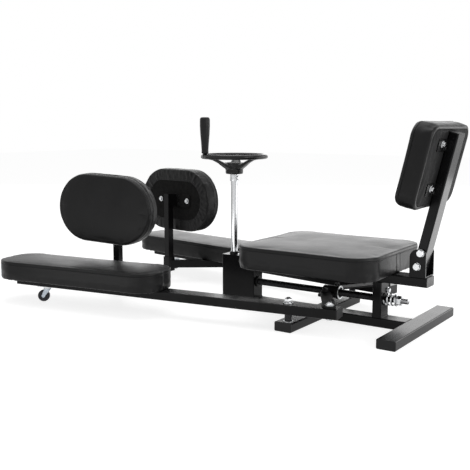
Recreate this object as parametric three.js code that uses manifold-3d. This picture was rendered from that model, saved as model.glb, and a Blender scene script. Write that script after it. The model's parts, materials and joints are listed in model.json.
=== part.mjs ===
// Leg stretching machine: a seat and backrest on a steel frame, and two padded leg arms that
// a handwheel, a pair of bevel gears and a lead screw swing apart.
// Millimetres, +Z up, +X towards the backrest, the sitter's left at -Y.
import * as THREE from 'three';
import { mergeVertices } from 'three/addons/utils/BufferGeometryUtils.js';
import Module from 'manifold-3d';

const wasm = await Module();
wasm.setup();

// Steel sections and the gap left between pieces that touch
const GAP = 0.3;
const TUBE_WIDTH = 60;
const TUBE_HEIGHT = 30;
const TUBE_WALL = 2;
const TUBE_CORNER = 4;
const CAP_THICKNESS = 3;
const CAP_PLUG = 5;

// Ground frame: X of the centre lines, seen from above
const REAR_FOOT_X = -30;
const FRONT_FOOT_X = -370;
const FOOT_HALF_LENGTH = 241;
const POST_X = -156;
const POST_BUSH_RADIUS = 19;
const POST_BUSH_LENGTH = 2;
const RAIL_BOTTOM = 145;
const RAIL_END_X = 3;

// Gear housing, handwheel shaft and lead screw
const HOUSING_FRONT_X = -751;
const HOUSING_LENGTH = 133;
const HOUSING_TOP = 177;
const HOUSING_WALL = 3;
const SHAFT_X = -719;
const SHAFT_RADIUS = 12;
const SCREW_Z = 88;
const SCREW_RADIUS = 11.5;
const SCREW_TAIL_RADIUS = 8.5;
const SCREW_END_X = -62;
const SCREW_BUSH_RADIUS = 18.5;
const GEAR_TEETH = 16;
const GEAR_PITCH_RADIUS = 20;
const GEAR_FACE = 9;

// Handwheel
const WHEEL_Z = 524;
const WHEEL_RADIUS = 111;
const RIM_RADIUS = 8.5;
const SPOKES = 3;
const SPOKE_WIDTH = 11;
const HANDLE_ANGLE = THREE.MathUtils.degToRad(238.5);
const GRIP_TOP_Z = 660;

// Travelling nut, its links and the ends of the arms that they turn
const NUT_X = -332;
const NUT_RADIUS = 20;
const NUT_HALF_LENGTH = 23;
const NUT_FLANGE_RADIUS = 22;
const NUT_FLANGE_LENGTH = 12;
const STUD_X = -330;
const STUD_Y = 44;
const LINK_THICKNESS = 6;
const LINK_WIDTH = 40;
const CRANK_LENGTH = 133;

// Leg arms: each turns on a stud at the end of the front foot
const ARM_PIVOT_X = -362;
const ARM_PIVOT_Y = 224.7;
const ARM_REST_ANGLE = THREE.MathUtils.degToRad(9);
const ARM_BOTTOM = 58;
const ARM_REAR = 162;
const ARM_FRONT = 1048;
const LEG_CUSHION_REAR = 439;
const LEG_CUSHION_FRONT = 1105;
const LEG_CUSHION_WIDTH = 200;
const LEG_CUSHION_TOP = 152;
const LEG_BOARD = 10;

// Inner leg pads on their posts
const PAD_POST_S = 760;
const PAD_POST_T = 197;
const PAD_POST_SIZE = 25;
const PAD_POST_TOP = 358;
const SOCKET_SIZE = 32;
const SOCKET_BOTTOM = 45;
const SOCKET_TOP = 103;
const PAD_LENGTH = 391;
const PAD_HEIGHT = 248;
const PAD_THICKNESS = 65;
const PAD_CENTRE_Z = 331;
const PAD_BACK_T = 164;
const PAD_BOARD = 12;
const LEFT_PAD_ROLL = THREE.MathUtils.degToRad(3);

// Casters under the front ends of the arms
const CASTER_S = 934;
const CASTER_WHEEL_RADIUS = 21;
const CASTER_WHEEL_WIDTH = 16;
const CASTER_TRAIL = 13;
const CASTER_TRAIL_ANGLE = THREE.MathUtils.degToRad(205.5);

// Seat
const SEAT_FRONT_X = -586;
const SEAT_LENGTH = 489;
const SEAT_WIDTH = 444;
const SEAT_TOP = 247;
const SEAT_BOARD = 12;

// Backrest, in its own frame: Z along the tilted upright, X square to it, towards the rear
const BACK_TILT = THREE.MathUtils.degToRad(13.5);
const BACK_FOOT_X = -31;
const BACK_FOOT_Z = 180;
const UPRIGHT_START = 4.5;
const UPRIGHT_LENGTH = 442;
const BACK_PAD_START = 210;
const BACK_PAD_HEIGHT = 254;
const BACK_PAD_WIDTH = 330;
const BACK_PAD_THICKNESS = 68;
const BACK_BOARD = 12;
const BACK_BOLTS = [30, 73];

// Thrust spring behind the rear post
const SPRING_TURNS = 3;
const SPRING_RADIUS = 17;
const SPRING_WIRE = 2.75;
const SPRING_START_X = -138.5;
const SPRING_END_X = -102;

const ROUND = 24;
const SMALL_ROUND = 12;

// Materials
const steelPaint = { color: 0x1b1b1c, roughness: 0.45, metalness: 0.5 };
const upholstery = { color: 0x1d1d1e, roughness: 0.5, metalness: 0 };
const plywood = { color: 0x2a2623, roughness: 0.85, metalness: 0 };
const plastic = { color: 0x161617, roughness: 0.6, metalness: 0 };
const chrome = { color: 0xcfd2d4, roughness: 0.12, metalness: 1 };
const zinc = { color: 0xb4b6b8, roughness: 0.35, metalness: 0.9 };
const blackSteel = { color: 0x242527, roughness: 0.4, metalness: 0.8 };
const wheelTread = { color: 0x1d1e21, roughness: 0.5, metalness: 0 };

const machine = new THREE.Group();

function addPiece(parent, name, geometry, finish) {
  const piece = new THREE.Mesh(geometry, new THREE.MeshStandardMaterial(finish));
  piece.name = name;
  parent.add(piece);
  return piece;
}

// Joins and cuts

function toSolid(geometry) {
  const bare = geometry.clone();
  bare.deleteAttribute('normal');
  bare.deleteAttribute('uv');
  const merged = mergeVertices(bare, 1e-4);
  const vertProperties = new Float32Array(merged.attributes.position.array);
  const triVerts = new Uint32Array(merged.index.array);
  return new wasm.Manifold(new wasm.Mesh({ numProp: 3, vertProperties, triVerts }));
}

function toGeometry(solid) {
  const mesh = solid.getMesh();
  const geometry = new THREE.BufferGeometry();
  geometry.setAttribute('position', new THREE.BufferAttribute(new Float32Array(mesh.vertProperties), 3));
  geometry.setIndex(new THREE.BufferAttribute(new Uint32Array(mesh.triVerts), 1));
  geometry.computeVertexNormals();
  return geometry;
}

function join(...geometries) {
  return toGeometry(geometries.map(toSolid).reduce((whole, next) => whole.add(next)));
}

function cut(geometry, ...tools) {
  return toGeometry(tools.map(toSolid).reduce((whole, tool) => whole.subtract(tool), toSolid(geometry)));
}

// Basic shapes

function block(x0, x1, y0, y1, z0, z1) {
  const geometry = new THREE.BoxGeometry(x1 - x0, y1 - y0, z1 - z0);
  return geometry.translate((x0 + x1) / 2, (y0 + y1) / 2, (z0 + z1) / 2);
}

function diskZ(radius, z0, z1, sides = ROUND) {
  const geometry = new THREE.CylinderGeometry(radius, radius, z1 - z0, sides);
  return geometry.rotateX(Math.PI / 2).translate(0, 0, (z0 + z1) / 2);
}

function diskX(radius, x0, x1, sides = ROUND) {
  const geometry = new THREE.CylinderGeometry(radius, radius, x1 - x0, sides);
  return geometry.rotateZ(Math.PI / 2).translate((x0 + x1) / 2, 0, 0);
}

function diskY(radius, y0, y1, sides = ROUND) {
  return new THREE.CylinderGeometry(radius, radius, y1 - y0, sides).translate(0, (y0 + y1) / 2, 0);
}

// A body of revolution about Z through [radius, height] points, closed on the axis
function turned(profile, sides = ROUND) {
  const points = profile.map(([radius, height]) => new THREE.Vector2(radius, height));
  return new THREE.LatheGeometry(points, sides).rotateX(Math.PI / 2);
}

function roundedRectangle(width, height, corner, holeWall = 0) {
  const halfW = width / 2;
  const halfH = height / 2;
  const shape = new THREE.Shape();
  shape.absarc(halfW - corner, halfH - corner, corner, 0, Math.PI / 2);
  shape.absarc(corner - halfW, halfH - corner, corner, Math.PI / 2, Math.PI);
  shape.absarc(corner - halfW, corner - halfH, corner, Math.PI, Math.PI * 1.5);
  shape.absarc(halfW - corner, corner - halfH, corner, Math.PI * 1.5, Math.PI * 2);
  if (holeWall > 0) {
    const hole = new THREE.Path();
    hole.moveTo(holeWall - halfW, holeWall - halfH);
    hole.lineTo(halfW - holeWall, holeWall - halfH);
    hole.lineTo(halfW - holeWall, halfH - holeWall);
    hole.lineTo(holeWall - halfW, halfH - holeWall);
    shape.holes.push(hole);
  }
  return shape;
}

function extrudeZ(shape, z0, z1, curveSegments = 2) {
  const geometry = new THREE.ExtrudeGeometry(shape, { depth: z1 - z0, bevelEnabled: false, curveSegments });
  return geometry.translate(0, 0, z0);
}

// Rectangular steel tube along each axis, centred on that axis
function tubeZ(sizeX, sizeY, z0, z1) {
  return extrudeZ(roundedRectangle(sizeX, sizeY, TUBE_CORNER, TUBE_WALL), z0, z1);
}

function tubeX(x0, x1, sizeY, sizeZ) {
  return tubeZ(sizeZ, sizeY, x0, x1).rotateY(Math.PI / 2);
}

function tubeY(y0, y1, sizeX, sizeZ) {
  return tubeZ(sizeX, sizeZ, y0, y1).rotateX(-Math.PI / 2);
}

// Moulded end cap: a plate the size of the tube and a plug that enters it, along +Z from z = 0
function capZ(sizeX, sizeY) {
  const plate = extrudeZ(roundedRectangle(sizeX, sizeY, TUBE_CORNER), 0, CAP_THICKNESS);
  const plugX = sizeX / 2 - TUBE_WALL - GAP;
  const plugY = sizeY / 2 - TUBE_WALL - GAP;
  const plug = block(-plugX, plugX, -plugY, plugY, -CAP_PLUG, 0.5);
  return join(plate, plug);
}

// Hexagon head bolt with a washer under its head: the head's bearing face is at z = 0, the shank below
function boltZ(acrossFlats, headHeight, shankRadius, shankLength, washerRadius, washerThickness) {
  const head = diskZ(acrossFlats / Math.sqrt(3), washerThickness - 0.1, washerThickness + headHeight, 6);
  const washer = diskZ(washerRadius, 0, washerThickness, SMALL_ROUND);
  const shank = diskZ(shankRadius, -shankLength, washerThickness, SMALL_ROUND);
  return join(head, washer, shank);
}

// Upholstery

// Plan outline of a cushion: rounded corners, and long sides drawn in between them
function cushionOutline(halfX, halfY, corner, drawIn, inset) {
  const sideSteps = 3;
  const cornerSteps = 5;
  const radius = Math.max(corner - inset, 1);
  const runX = halfX - corner;
  const runY = halfY - corner;
  const points = [];
  const addCorner = (centreX, centreY, start) => {
    for (let i = 0; i <= cornerSteps; i += 1) {
      const angle = start + (i / cornerSteps) * (Math.PI / 2);
      points.push([centreX + radius * Math.cos(angle), centreY + radius * Math.sin(angle)]);
    }
  };
  const addSide = (along, across, alongX) => {
    for (let i = 1; i < sideSteps; i += 1) {
      const position = 1 - (2 * i) / sideSteps;
      const pull = drawIn * (1 - position * position);
      const level = across - Math.sign(across) * pull;
      points.push(alongX ? [along * position, level] : [level, along * position]);
    }
  };
  const edgeX = halfX - inset;
  const edgeY = halfY - inset;
  addCorner(runX, runY, 0);
  addSide(runX, edgeY, true);
  addCorner(-runX, runY, Math.PI / 2);
  addSide(runY, -edgeX, false);
  addCorner(-runX, -runY, Math.PI);
  addSide(-runX, -edgeY, true);
  addCorner(runX, -runY, Math.PI * 1.5);
  addSide(-runY, edgeX, false);
  return points;
}

// Closed cushion standing on z = 0: sides that bulge at mid height and a crowned top
function cushionGeometry(lengthX, lengthY, height, { corner, drawIn, bulge, edge, crown }) {
  const loops = [];
  const addLoop = (inset, z, scale = 1) => {
    const outline = cushionOutline(lengthX / 2, lengthY / 2, corner, drawIn, inset);
    loops.push(outline.map(([x, y]) => [x * scale, y * scale, z]));
  };
  addLoop(bulge + 2, 0);
  addLoop(bulge, height * 0.08);
  addLoop(bulge * 0.3, height * 0.3);
  addLoop(0, height * 0.5);
  for (let i = 0; i <= 4; i += 1) {
    const angle = (i / 4) * (Math.PI / 2) * 0.95;
    addLoop(edge * (1 - Math.cos(angle)), height - edge + edge * Math.sin(angle));
  }
  for (const fraction of [0.2, 0.45, 0.72]) {
    const rise = crown * Math.sin((fraction * Math.PI) / 2);
    addLoop(edge, height + rise, 1 - fraction);
  }
  const count = loops[0].length;
  const positions = loops.flat(2);
  const indices = [];
  for (let ring = 0; ring + 1 < loops.length; ring += 1) {
    for (let i = 0; i < count; i += 1) {
      const a = ring * count + i;
      const b = ring * count + ((i + 1) % count);
      indices.push(a, b, b + count, a, b + count, a + count);
    }
  }
  const bottom = positions.length / 3;
  positions.push(0, 0, 0, 0, 0, height + crown);
  const last = (loops.length - 1) * count;
  for (let i = 0; i < count; i += 1) {
    const next = (i + 1) % count;
    indices.push(bottom, next, i, bottom + 1, last + i, last + next);
  }
  const geometry = new THREE.BufferGeometry();
  geometry.setAttribute('position', new THREE.Float32BufferAttribute(positions, 3));
  geometry.setIndex(indices);
  return geometry;
}

// Plywood base of a cushion, and the cushion wrapped round it with the board's back left bare
function boardGeometry(lengthX, lengthY, corner, thickness) {
  return extrudeZ(roundedRectangle(lengthX, lengthY, corner), 0, thickness, 4);
}

function upholstered(lengthX, lengthY, height, boardThickness, margin, form) {
  const corner = form.corner - margin;
  const board = boardGeometry(lengthX - 2 * margin, lengthY - 2 * margin, corner, boardThickness);
  const roomX = lengthX - 2 * margin + 2 * GAP;
  const roomY = lengthY - 2 * margin + 2 * GAP;
  const room = extrudeZ(roundedRectangle(roomX, roomY, corner + GAP), -1, boardThickness + GAP, 4);
  const cushion = cut(cushionGeometry(lengthX, lengthY, height, form), room);
  return { board, cushion };
}

// Ground frame

function addFoot(x, name, sides) {
  for (const [label, y0, y1] of sides) {
    const foot = tubeY(y0, y1, TUBE_WIDTH, TUBE_HEIGHT).translate(x, 0, TUBE_HEIGHT / 2);
    addPiece(machine, label === '' ? name : `${name}_${label}`, foot, steelPaint);
  }
  for (const side of [-1, 1]) {
    const cap = capZ(TUBE_WIDTH, TUBE_HEIGHT).rotateX((-side * Math.PI) / 2);
    cap.translate(x, side * (FOOT_HALF_LENGTH + GAP), TUBE_HEIGHT / 2);
    addPiece(machine, `${name}_cap_${side < 0 ? 'left' : 'right'}`, cap, plastic);
  }
}

function addGroundFrame() {
  const beamEdge = TUBE_WIDTH / 2 + GAP;
  const rearFootFront = REAR_FOOT_X - TUBE_WIDTH / 2;
  const beam = tubeX(HOUSING_FRONT_X, rearFootFront - GAP, TUBE_WIDTH, TUBE_HEIGHT);
  const noseX = HOUSING_FRONT_X;
  const halfH = TUBE_HEIGHT / 2;
  const nose = block(noseX, noseX + 3, 1 - TUBE_WIDTH / 2, TUBE_WIDTH / 2 - 1, 1 - halfH, halfH - 1);
  addPiece(machine, 'main_beam', join(beam, nose).translate(0, 0, halfH), steelPaint);
  addFoot(REAR_FOOT_X, 'rear_foot', [['', -FOOT_HALF_LENGTH, FOOT_HALF_LENGTH]]);
  addFoot(FRONT_FOOT_X, 'front_foot', [
    ['left', -FOOT_HALF_LENGTH, -beamEdge],
    ['right', beamEdge, FOOT_HALF_LENGTH],
  ]);
}

// Post under the seat rail, with the welded bush that the tail of the screw turns in
function addRearPost() {
  const post = tubeZ(TUBE_HEIGHT, TUBE_WIDTH, TUBE_HEIGHT + GAP, RAIL_BOTTOM - GAP);
  const half = TUBE_HEIGHT / 2;
  const bush = join(diskX(13, 1 - half, half + 2), diskX(POST_BUSH_RADIUS, half - 1, half + POST_BUSH_LENGTH));
  const hole = diskX(SCREW_TAIL_RADIUS + GAP, -TUBE_WIDTH, TUBE_WIDTH).translate(0, 0, SCREW_Z);
  const whole = cut(join(post, bush.translate(0, 0, SCREW_Z)), hole);
  addPiece(machine, 'rear_post', whole.translate(POST_X, 0, 0), steelPaint);
}

function addSeatRail() {
  const railFront = HOUSING_FRONT_X + HOUSING_LENGTH + GAP;
  const middle = RAIL_BOTTOM + TUBE_HEIGHT / 2;
  const rail = tubeX(railFront, RAIL_END_X, TUBE_WIDTH, TUBE_HEIGHT).translate(0, 0, middle);
  addPiece(machine, 'seat_rail', rail, steelPaint);
  const cap = capZ(TUBE_HEIGHT, TUBE_WIDTH).rotateY(Math.PI / 2).translate(RAIL_END_X + GAP, 0, middle);
  addPiece(machine, 'seat_rail_cap', cap, plastic);
}

// Gear housing and drive

function addGearHousing() {
  const bottom = TUBE_HEIGHT + GAP;
  const middleX = HOUSING_FRONT_X + HOUSING_LENGTH / 2;
  const shell = extrudeZ(roundedRectangle(HOUSING_LENGTH, TUBE_WIDTH, TUBE_CORNER), bottom, HOUSING_TOP);
  const innerLength = HOUSING_LENGTH - 2 * HOUSING_WALL;
  const innerWidth = TUBE_WIDTH - 2 * HOUSING_WALL;
  const inside = extrudeZ(roundedRectangle(innerLength, innerWidth, 1), 0, HOUSING_TOP - HOUSING_WALL);
  const screwHole = diskX(SCREW_RADIUS + 4, 0, HOUSING_LENGTH).translate(0, 0, SCREW_Z);
  const shaftHole = diskZ(SHAFT_RADIUS + 3, 100, 200).translate(SHAFT_X - middleX, 0, 0);
  const housing = cut(shell, inside, screwHole, shaftHole).translate(middleX, 0, 0);
  addPiece(machine, 'gear_housing', housing, steelPaint);

  const shaftBush = flangedBush(SHAFT_RADIUS + GAP, SHAFT_RADIUS + 3 - GAP, SHAFT_RADIUS + 4.5, 12, 8);
  addPiece(machine, 'shaft_bush', shaftBush.translate(SHAFT_X, 0, HOUSING_TOP + GAP), plastic);

  const screwBush = flangedBush(SCREW_RADIUS + GAP, SCREW_RADIUS + 4 - GAP, SCREW_BUSH_RADIUS, 10, 6);
  screwBush.rotateY(Math.PI / 2);
  const rearFaceX = HOUSING_FRONT_X + HOUSING_LENGTH;
  addPiece(machine, 'screw_bush', screwBush.translate(rearFaceX + GAP, 0, SCREW_Z), plastic);
}

// Flanged bush along Z: the flange stands on z = 0 and the sleeve reaches down through the wall
function flangedBush(bore, sleeveRadius, flangeRadius, sleeveLength, flangeHeight) {
  return turned([
    [bore, -sleeveLength],
    [sleeveRadius, -sleeveLength],
    [sleeveRadius, 0],
    [flangeRadius, 0],
    [flangeRadius, flangeHeight],
    [bore, flangeHeight],
    [bore, -sleeveLength],
  ]);
}

// Straight bevel gear for a right-angle pair. Its pitch cone's tip is at the origin and it faces down
// from +Z: every tooth section shrinks towards that tip. The hub stands behind the large end.
function bevelGear(boreRadius, turn) {
  const pitchAngle = (Math.PI * 2) / GEAR_TEETH;
  const root = 0.86;
  const tip = 1.09;
  const toothSteps = [[-0.31, root], [-0.13, tip], [0.13, tip], [0.31, root]];
  const outline = [];
  for (let tooth = 0; tooth < GEAR_TEETH; tooth += 1) {
    for (const [offset, height] of toothSteps) {
      const angle = turn + (tooth + offset) * pitchAngle;
      outline.push([height * Math.cos(angle), height * Math.sin(angle)]);
    }
  }
  const levels = [GEAR_PITCH_RADIUS - GEAR_FACE, GEAR_PITCH_RADIUS];
  const positions = levels.flatMap((z) => outline.flatMap(([x, y]) => [x * z, y * z, z]));
  const count = outline.length;
  const small = positions.length / 3;
  positions.push(0, 0, levels[0], 0, 0, levels[1]);
  const indices = [];
  for (let i = 0; i < count; i += 1) {
    const next = (i + 1) % count;
    indices.push(i, next, next + count, i, next + count, i + count);
    indices.push(small, next, i, small + 1, i + count, next + count);
  }
  const teeth = new THREE.BufferGeometry();
  teeth.setAttribute('position', new THREE.Float32BufferAttribute(positions, 3));
  teeth.setIndex(indices);
  const hub = diskZ(GEAR_PITCH_RADIUS * 0.75, GEAR_PITCH_RADIUS - 0.5, GEAR_PITCH_RADIUS + 8);
  const bore = diskZ(boreRadius + GAP, 0, GEAR_PITCH_RADIUS * 2);
  return cut(join(teeth, hub), bore);
}

function addDrive() {
  const shaftGear = bevelGear(8, 0).translate(SHAFT_X, 0, SCREW_Z);
  addPiece(machine, 'bevel_gear_shaft', shaftGear, blackSteel);
  const halfTooth = Math.PI / GEAR_TEETH;
  const screwGear = bevelGear(7, halfTooth).rotateY(Math.PI / 2).translate(SHAFT_X, 0, SCREW_Z);
  addPiece(machine, 'bevel_gear_screw', screwGear, blackSteel);

  const shaftTop = 494;
  const seat = SCREW_Z + GEAR_PITCH_RADIUS + 8 + GAP;
  const gearTail = SCREW_Z + GEAR_PITCH_RADIUS - GEAR_FACE + 1;
  const shaft = turned([
    [0, gearTail],
    [8, gearTail],
    [8, seat],
    [SHAFT_RADIUS, seat],
    [SHAFT_RADIUS, shaftTop - 1.5],
    [SHAFT_RADIUS - 1.5, shaftTop],
    [0, shaftTop],
  ]);
  addPiece(machine, 'wheel_shaft', shaft.translate(SHAFT_X, 0, 0), chrome);

  const collar = turned([
    [SHAFT_RADIUS + GAP, 437],
    [15.2, 437],
    [15.2, 461],
    [SHAFT_RADIUS + GAP, 461],
    [SHAFT_RADIUS + GAP, 437],
  ]);
  const bolt = boltZ(13, 6, 4, 6, 6, 1.5).rotateY(Math.PI / 2).translate(18, 0, 449);
  const clamp = cut(join(collar, bolt.rotateZ(-0.2)), diskZ(SHAFT_RADIUS + GAP, 400, 500));
  addPiece(machine, 'shaft_collar', clamp.translate(SHAFT_X, 0, 0), chrome);
}

function addLeadScrew() {
  const start = SHAFT_X + GEAR_PITCH_RADIUS - GEAR_FACE + 1;
  const gearSeat = SHAFT_X + GEAR_PITCH_RADIUS + 8 + GAP;
  const shoulderX = POST_X - TUBE_HEIGHT / 2 - GAP;
  const screw = turned([
    [0, start],
    [7, start],
    [7, gearSeat],
    [SCREW_RADIUS, gearSeat],
    [SCREW_RADIUS, shoulderX],
    [SCREW_TAIL_RADIUS, shoulderX],
    [SCREW_TAIL_RADIUS, SCREW_END_X - 1.5],
    [SCREW_TAIL_RADIUS - 1.5, SCREW_END_X],
    [0, SCREW_END_X],
  ]).rotateY(Math.PI / 2);
  addPiece(machine, 'lead_screw', screw.translate(0, 0, SCREW_Z), blackSteel);
}

// Thrust end of the screw: coil spring, washer and lock nut
class SpringCurve extends THREE.Curve {
  getPoint(t, target = new THREE.Vector3()) {
    const angle = t * SPRING_TURNS * Math.PI * 2;
    const x = THREE.MathUtils.lerp(SPRING_START_X + SPRING_WIRE, SPRING_END_X - SPRING_WIRE, t);
    return target.set(x, SPRING_RADIUS * Math.cos(angle), SPRING_RADIUS * Math.sin(angle));
  }
}

function springGap(curve) {
  const samples = SPRING_TURNS * 24;
  const points = Array.from({ length: samples + 1 }, (_, i) => curve.getPoint(i / samples));
  let least = Infinity;
  points.forEach((point, i) => {
    for (const other of points.slice(i + 12)) {
      least = Math.min(least, point.distanceTo(other) - 2 * SPRING_WIRE);
    }
  });
  return least;
}

function addThrustEnd() {
  const curve = new SpringCurve();
  const wire = new THREE.Shape();
  wire.absarc(0, 0, SPRING_WIRE, 0, Math.PI * 2);
  const steps = SPRING_TURNS * 8;
  const settings = { steps, extrudePath: curve, bevelEnabled: false, curveSegments: 5 };
  const spring = new THREE.ExtrudeGeometry(wire, settings).translate(0, 0, SCREW_Z);
  addPiece(machine, 'thrust_spring', spring, blackSteel);
  console.log(`least gap between spring turns: ${springGap(curve).toFixed(2)} mm`);

  const washer = turned([
    [SCREW_TAIL_RADIUS + GAP, SPRING_END_X + GAP],
    [19, SPRING_END_X + GAP],
    [19, SPRING_END_X + GAP + 3],
    [SCREW_TAIL_RADIUS + GAP, SPRING_END_X + GAP + 3],
    [SCREW_TAIL_RADIUS + GAP, SPRING_END_X + GAP],
  ]).rotateY(Math.PI / 2);
  addPiece(machine, 'spring_washer', washer.translate(0, 0, SCREW_Z), zinc);

  const nutStart = SPRING_END_X + 2 * GAP + 3;
  const nutBody = diskX(27 / Math.sqrt(3), nutStart, nutStart + 15, 6);
  const nutBore = diskX(SCREW_TAIL_RADIUS + GAP, nutStart - 1, nutStart + 20, SMALL_ROUND);
  addPiece(machine, 'lock_nut', cut(nutBody, nutBore).translate(0, 0, SCREW_Z), zinc);
}

// Handwheel: torus rim, dished spokes, tapered hub and the upright handle pin
function addHandwheel() {
  const rim = new THREE.TorusGeometry(WHEEL_RADIUS, RIM_RADIUS, 8, 36).translate(0, 0, WHEEL_Z);
  const hub = turned([
    [0, 462],
    [29, 462],
    [31, 465],
    [31, 480],
    [35.5, 500],
    [33.5, 503],
    [24, 503],
    [22, 496],
    [0, 496],
  ]);
  const pieces = [rim, hub];
  for (let i = 0; i < SPOKES; i += 1) {
    pieces.push(spoke().rotateZ(HANDLE_ANGLE + (i * Math.PI * 2) / SPOKES));
  }
  const pinX = WHEEL_RADIUS * Math.cos(HANDLE_ANGLE);
  const pinY = WHEEL_RADIUS * Math.sin(HANDLE_ANGLE);
  pieces.push(diskZ(5, WHEEL_Z, GRIP_TOP_Z - 12, SMALL_ROUND).translate(pinX, pinY, 0));
  const bore = diskZ(SHAFT_RADIUS + GAP, 400, 494 + GAP);
  addPiece(machine, 'handwheel', cut(join(...pieces), bore).translate(SHAFT_X, 0, 0), plastic);

  const gripBase = WHEEL_Z + RIM_RADIUS + GAP;
  const grip = turned([
    [5 + GAP, gripBase],
    [11.5, gripBase],
    [12.5, gripBase + 2],
    [14, gripBase + 30],
    [16.5, gripBase + 75],
    [17.5, gripBase + 105],
    [17.5, GRIP_TOP_Z - 3],
    [15, GRIP_TOP_Z],
    [0, GRIP_TOP_Z],
    [0, GRIP_TOP_Z - 10],
    [5 + GAP, GRIP_TOP_Z - 10],
    [5 + GAP, gripBase],
  ], 16);
  addPiece(machine, 'handle_grip', grip.translate(SHAFT_X + pinX, pinY, 0), plastic);
}

// Flat spoke along +X that rises from the hub to the rim
function spoke() {
  const half = 4;
  const profile = new THREE.Shape();
  profile.moveTo(20, 478 - half);
  profile.lineTo(34, 482 - half);
  profile.lineTo(92, WHEEL_Z - 7 - half);
  profile.lineTo(WHEEL_RADIUS, WHEEL_Z - 2 - half);
  profile.lineTo(WHEEL_RADIUS, WHEEL_Z - 2 + half);
  profile.lineTo(90, WHEEL_Z - 6 + half);
  profile.lineTo(32, 484 + half);
  profile.lineTo(20, 478 + half);
  return extrudeZ(profile, -SPOKE_WIDTH / 2, SPOKE_WIDTH / 2).rotateX(Math.PI / 2);
}

// Travelling nut and its links to the arms

function addTravelNut() {
  const front = NUT_X - NUT_HALF_LENGTH;
  const rear = NUT_X + NUT_HALF_LENGTH;
  const barrel = turned([
    [0, front],
    [NUT_RADIUS - 2, front],
    [NUT_RADIUS, front + 2],
    [NUT_RADIUS, rear],
    [NUT_FLANGE_RADIUS, rear],
    [NUT_FLANGE_RADIUS, rear + NUT_FLANGE_LENGTH - 2],
    [NUT_FLANGE_RADIUS - 2, rear + NUT_FLANGE_LENGTH],
    [0, rear + NUT_FLANGE_LENGTH],
  ]).rotateY(Math.PI / 2).translate(0, 0, SCREW_Z);
  const earTop = ARM_BOTTOM + TUBE_HEIGHT;
  const ear = extrudeZ(roundedRectangle(34, 2 * STUD_Y + 34, 16), earTop - 8, earTop, 5);
  const pieces = [barrel, ear.translate(STUD_X, 0, 0)];
  for (const side of [-1, 1]) {
    const boltTop = earTop + 0.5 + LINK_THICKNESS + GAP;
    const bolt = boltZ(19, 9, 6, boltTop - earTop + 1, 13, 2.5);
    pieces.push(bolt.translate(STUD_X, side * STUD_Y, boltTop));
  }
  const bore = diskX(SCREW_RADIUS + GAP, front - 1, rear + NUT_FLANGE_LENGTH + 1).translate(0, 0, SCREW_Z);
  addPiece(machine, 'travel_nut', cut(join(...pieces), bore), blackSteel);
}

// World place of a point that lies s along an arm towards its front and t to its outer side
function armPoint(side, s, t) {
  const cos = Math.cos(ARM_REST_ANGLE);
  const sin = Math.sin(ARM_REST_ANGLE);
  return [ARM_PIVOT_X - s * cos + t * sin, side * (ARM_PIVOT_Y + s * sin + t * cos)];
}

function addLink(side, label) {
  const [boltX, boltY] = armPoint(side, -CRANK_LENGTH, 0);
  const studY = side * STUD_Y;
  const length = Math.hypot(boltX - STUD_X, boltY - studY);
  const angle = Math.atan2(boltY - studY, boltX - STUD_X);
  const base = ARM_BOTTOM + TUBE_HEIGHT + 0.5;

  const narrow = 17;
  const wide = LINK_WIDTH / 2;
  const plate = new THREE.Shape();
  plate.absarc(length, 0, wide, -Math.PI / 2, Math.PI / 2);
  plate.absarc(0, 0, narrow, Math.PI / 2, Math.PI * 1.5);
  const studHole = diskZ(6 + GAP, base - 1, base + LINK_THICKNESS + 1, SMALL_ROUND);
  const boltHole = studHole.clone().translate(length, 0, 0);
  const link = cut(extrudeZ(plate, base, base + LINK_THICKNESS, 8), studHole, boltHole);
  addPiece(machine, `link_${label}`, link.rotateZ(angle).translate(STUD_X, studY, 0), steelPaint);

  const bolt = boltZ(17, 7, 6, LINK_THICKNESS + GAP, 14, 2.5);
  bolt.translate(boltX, boltY, base + LINK_THICKNESS + GAP);
  addPiece(machine, `link_bolt_${label}`, bolt, zinc);
}

// Leg arms

// Stack that carries an arm on the front foot: washer, spacer, shank, washer and head as one
function addArmPivot(side, label) {
  const foot = TUBE_HEIGHT + GAP;
  const top = ARM_BOTTOM + TUBE_HEIGHT + GAP;
  const stack = turned([
    [0, foot],
    [16, foot],
    [16, foot + 2.5],
    [11, foot + 2.5],
    [11, ARM_BOTTOM - GAP],
    [6, ARM_BOTTOM - GAP],
    [6, top],
    [16, top],
    [16, top + 2.5],
    [0, top + 2.5],
  ], 16);
  const head = diskZ(19 / Math.sqrt(3), top + 2, top + 12, 6);
  const pivot = join(stack, head).translate(ARM_PIVOT_X, side * ARM_PIVOT_Y, 0);
  addPiece(machine, `pivot_stud_${label}`, pivot, zinc);
}

function addArm(side, label) {
  addArmPivot(side, label);
  const arm = new THREE.Group();
  arm.position.set(ARM_PIVOT_X, side * ARM_PIVOT_Y, 0);
  arm.rotation.z = -side * ARM_REST_ANGLE;
  machine.add(arm);
  addArmTube(arm, side, label);
  addLegCushion(arm, label);
  addInnerPad(arm, side, label);
  addCaster(arm, side, label);
}

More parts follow.
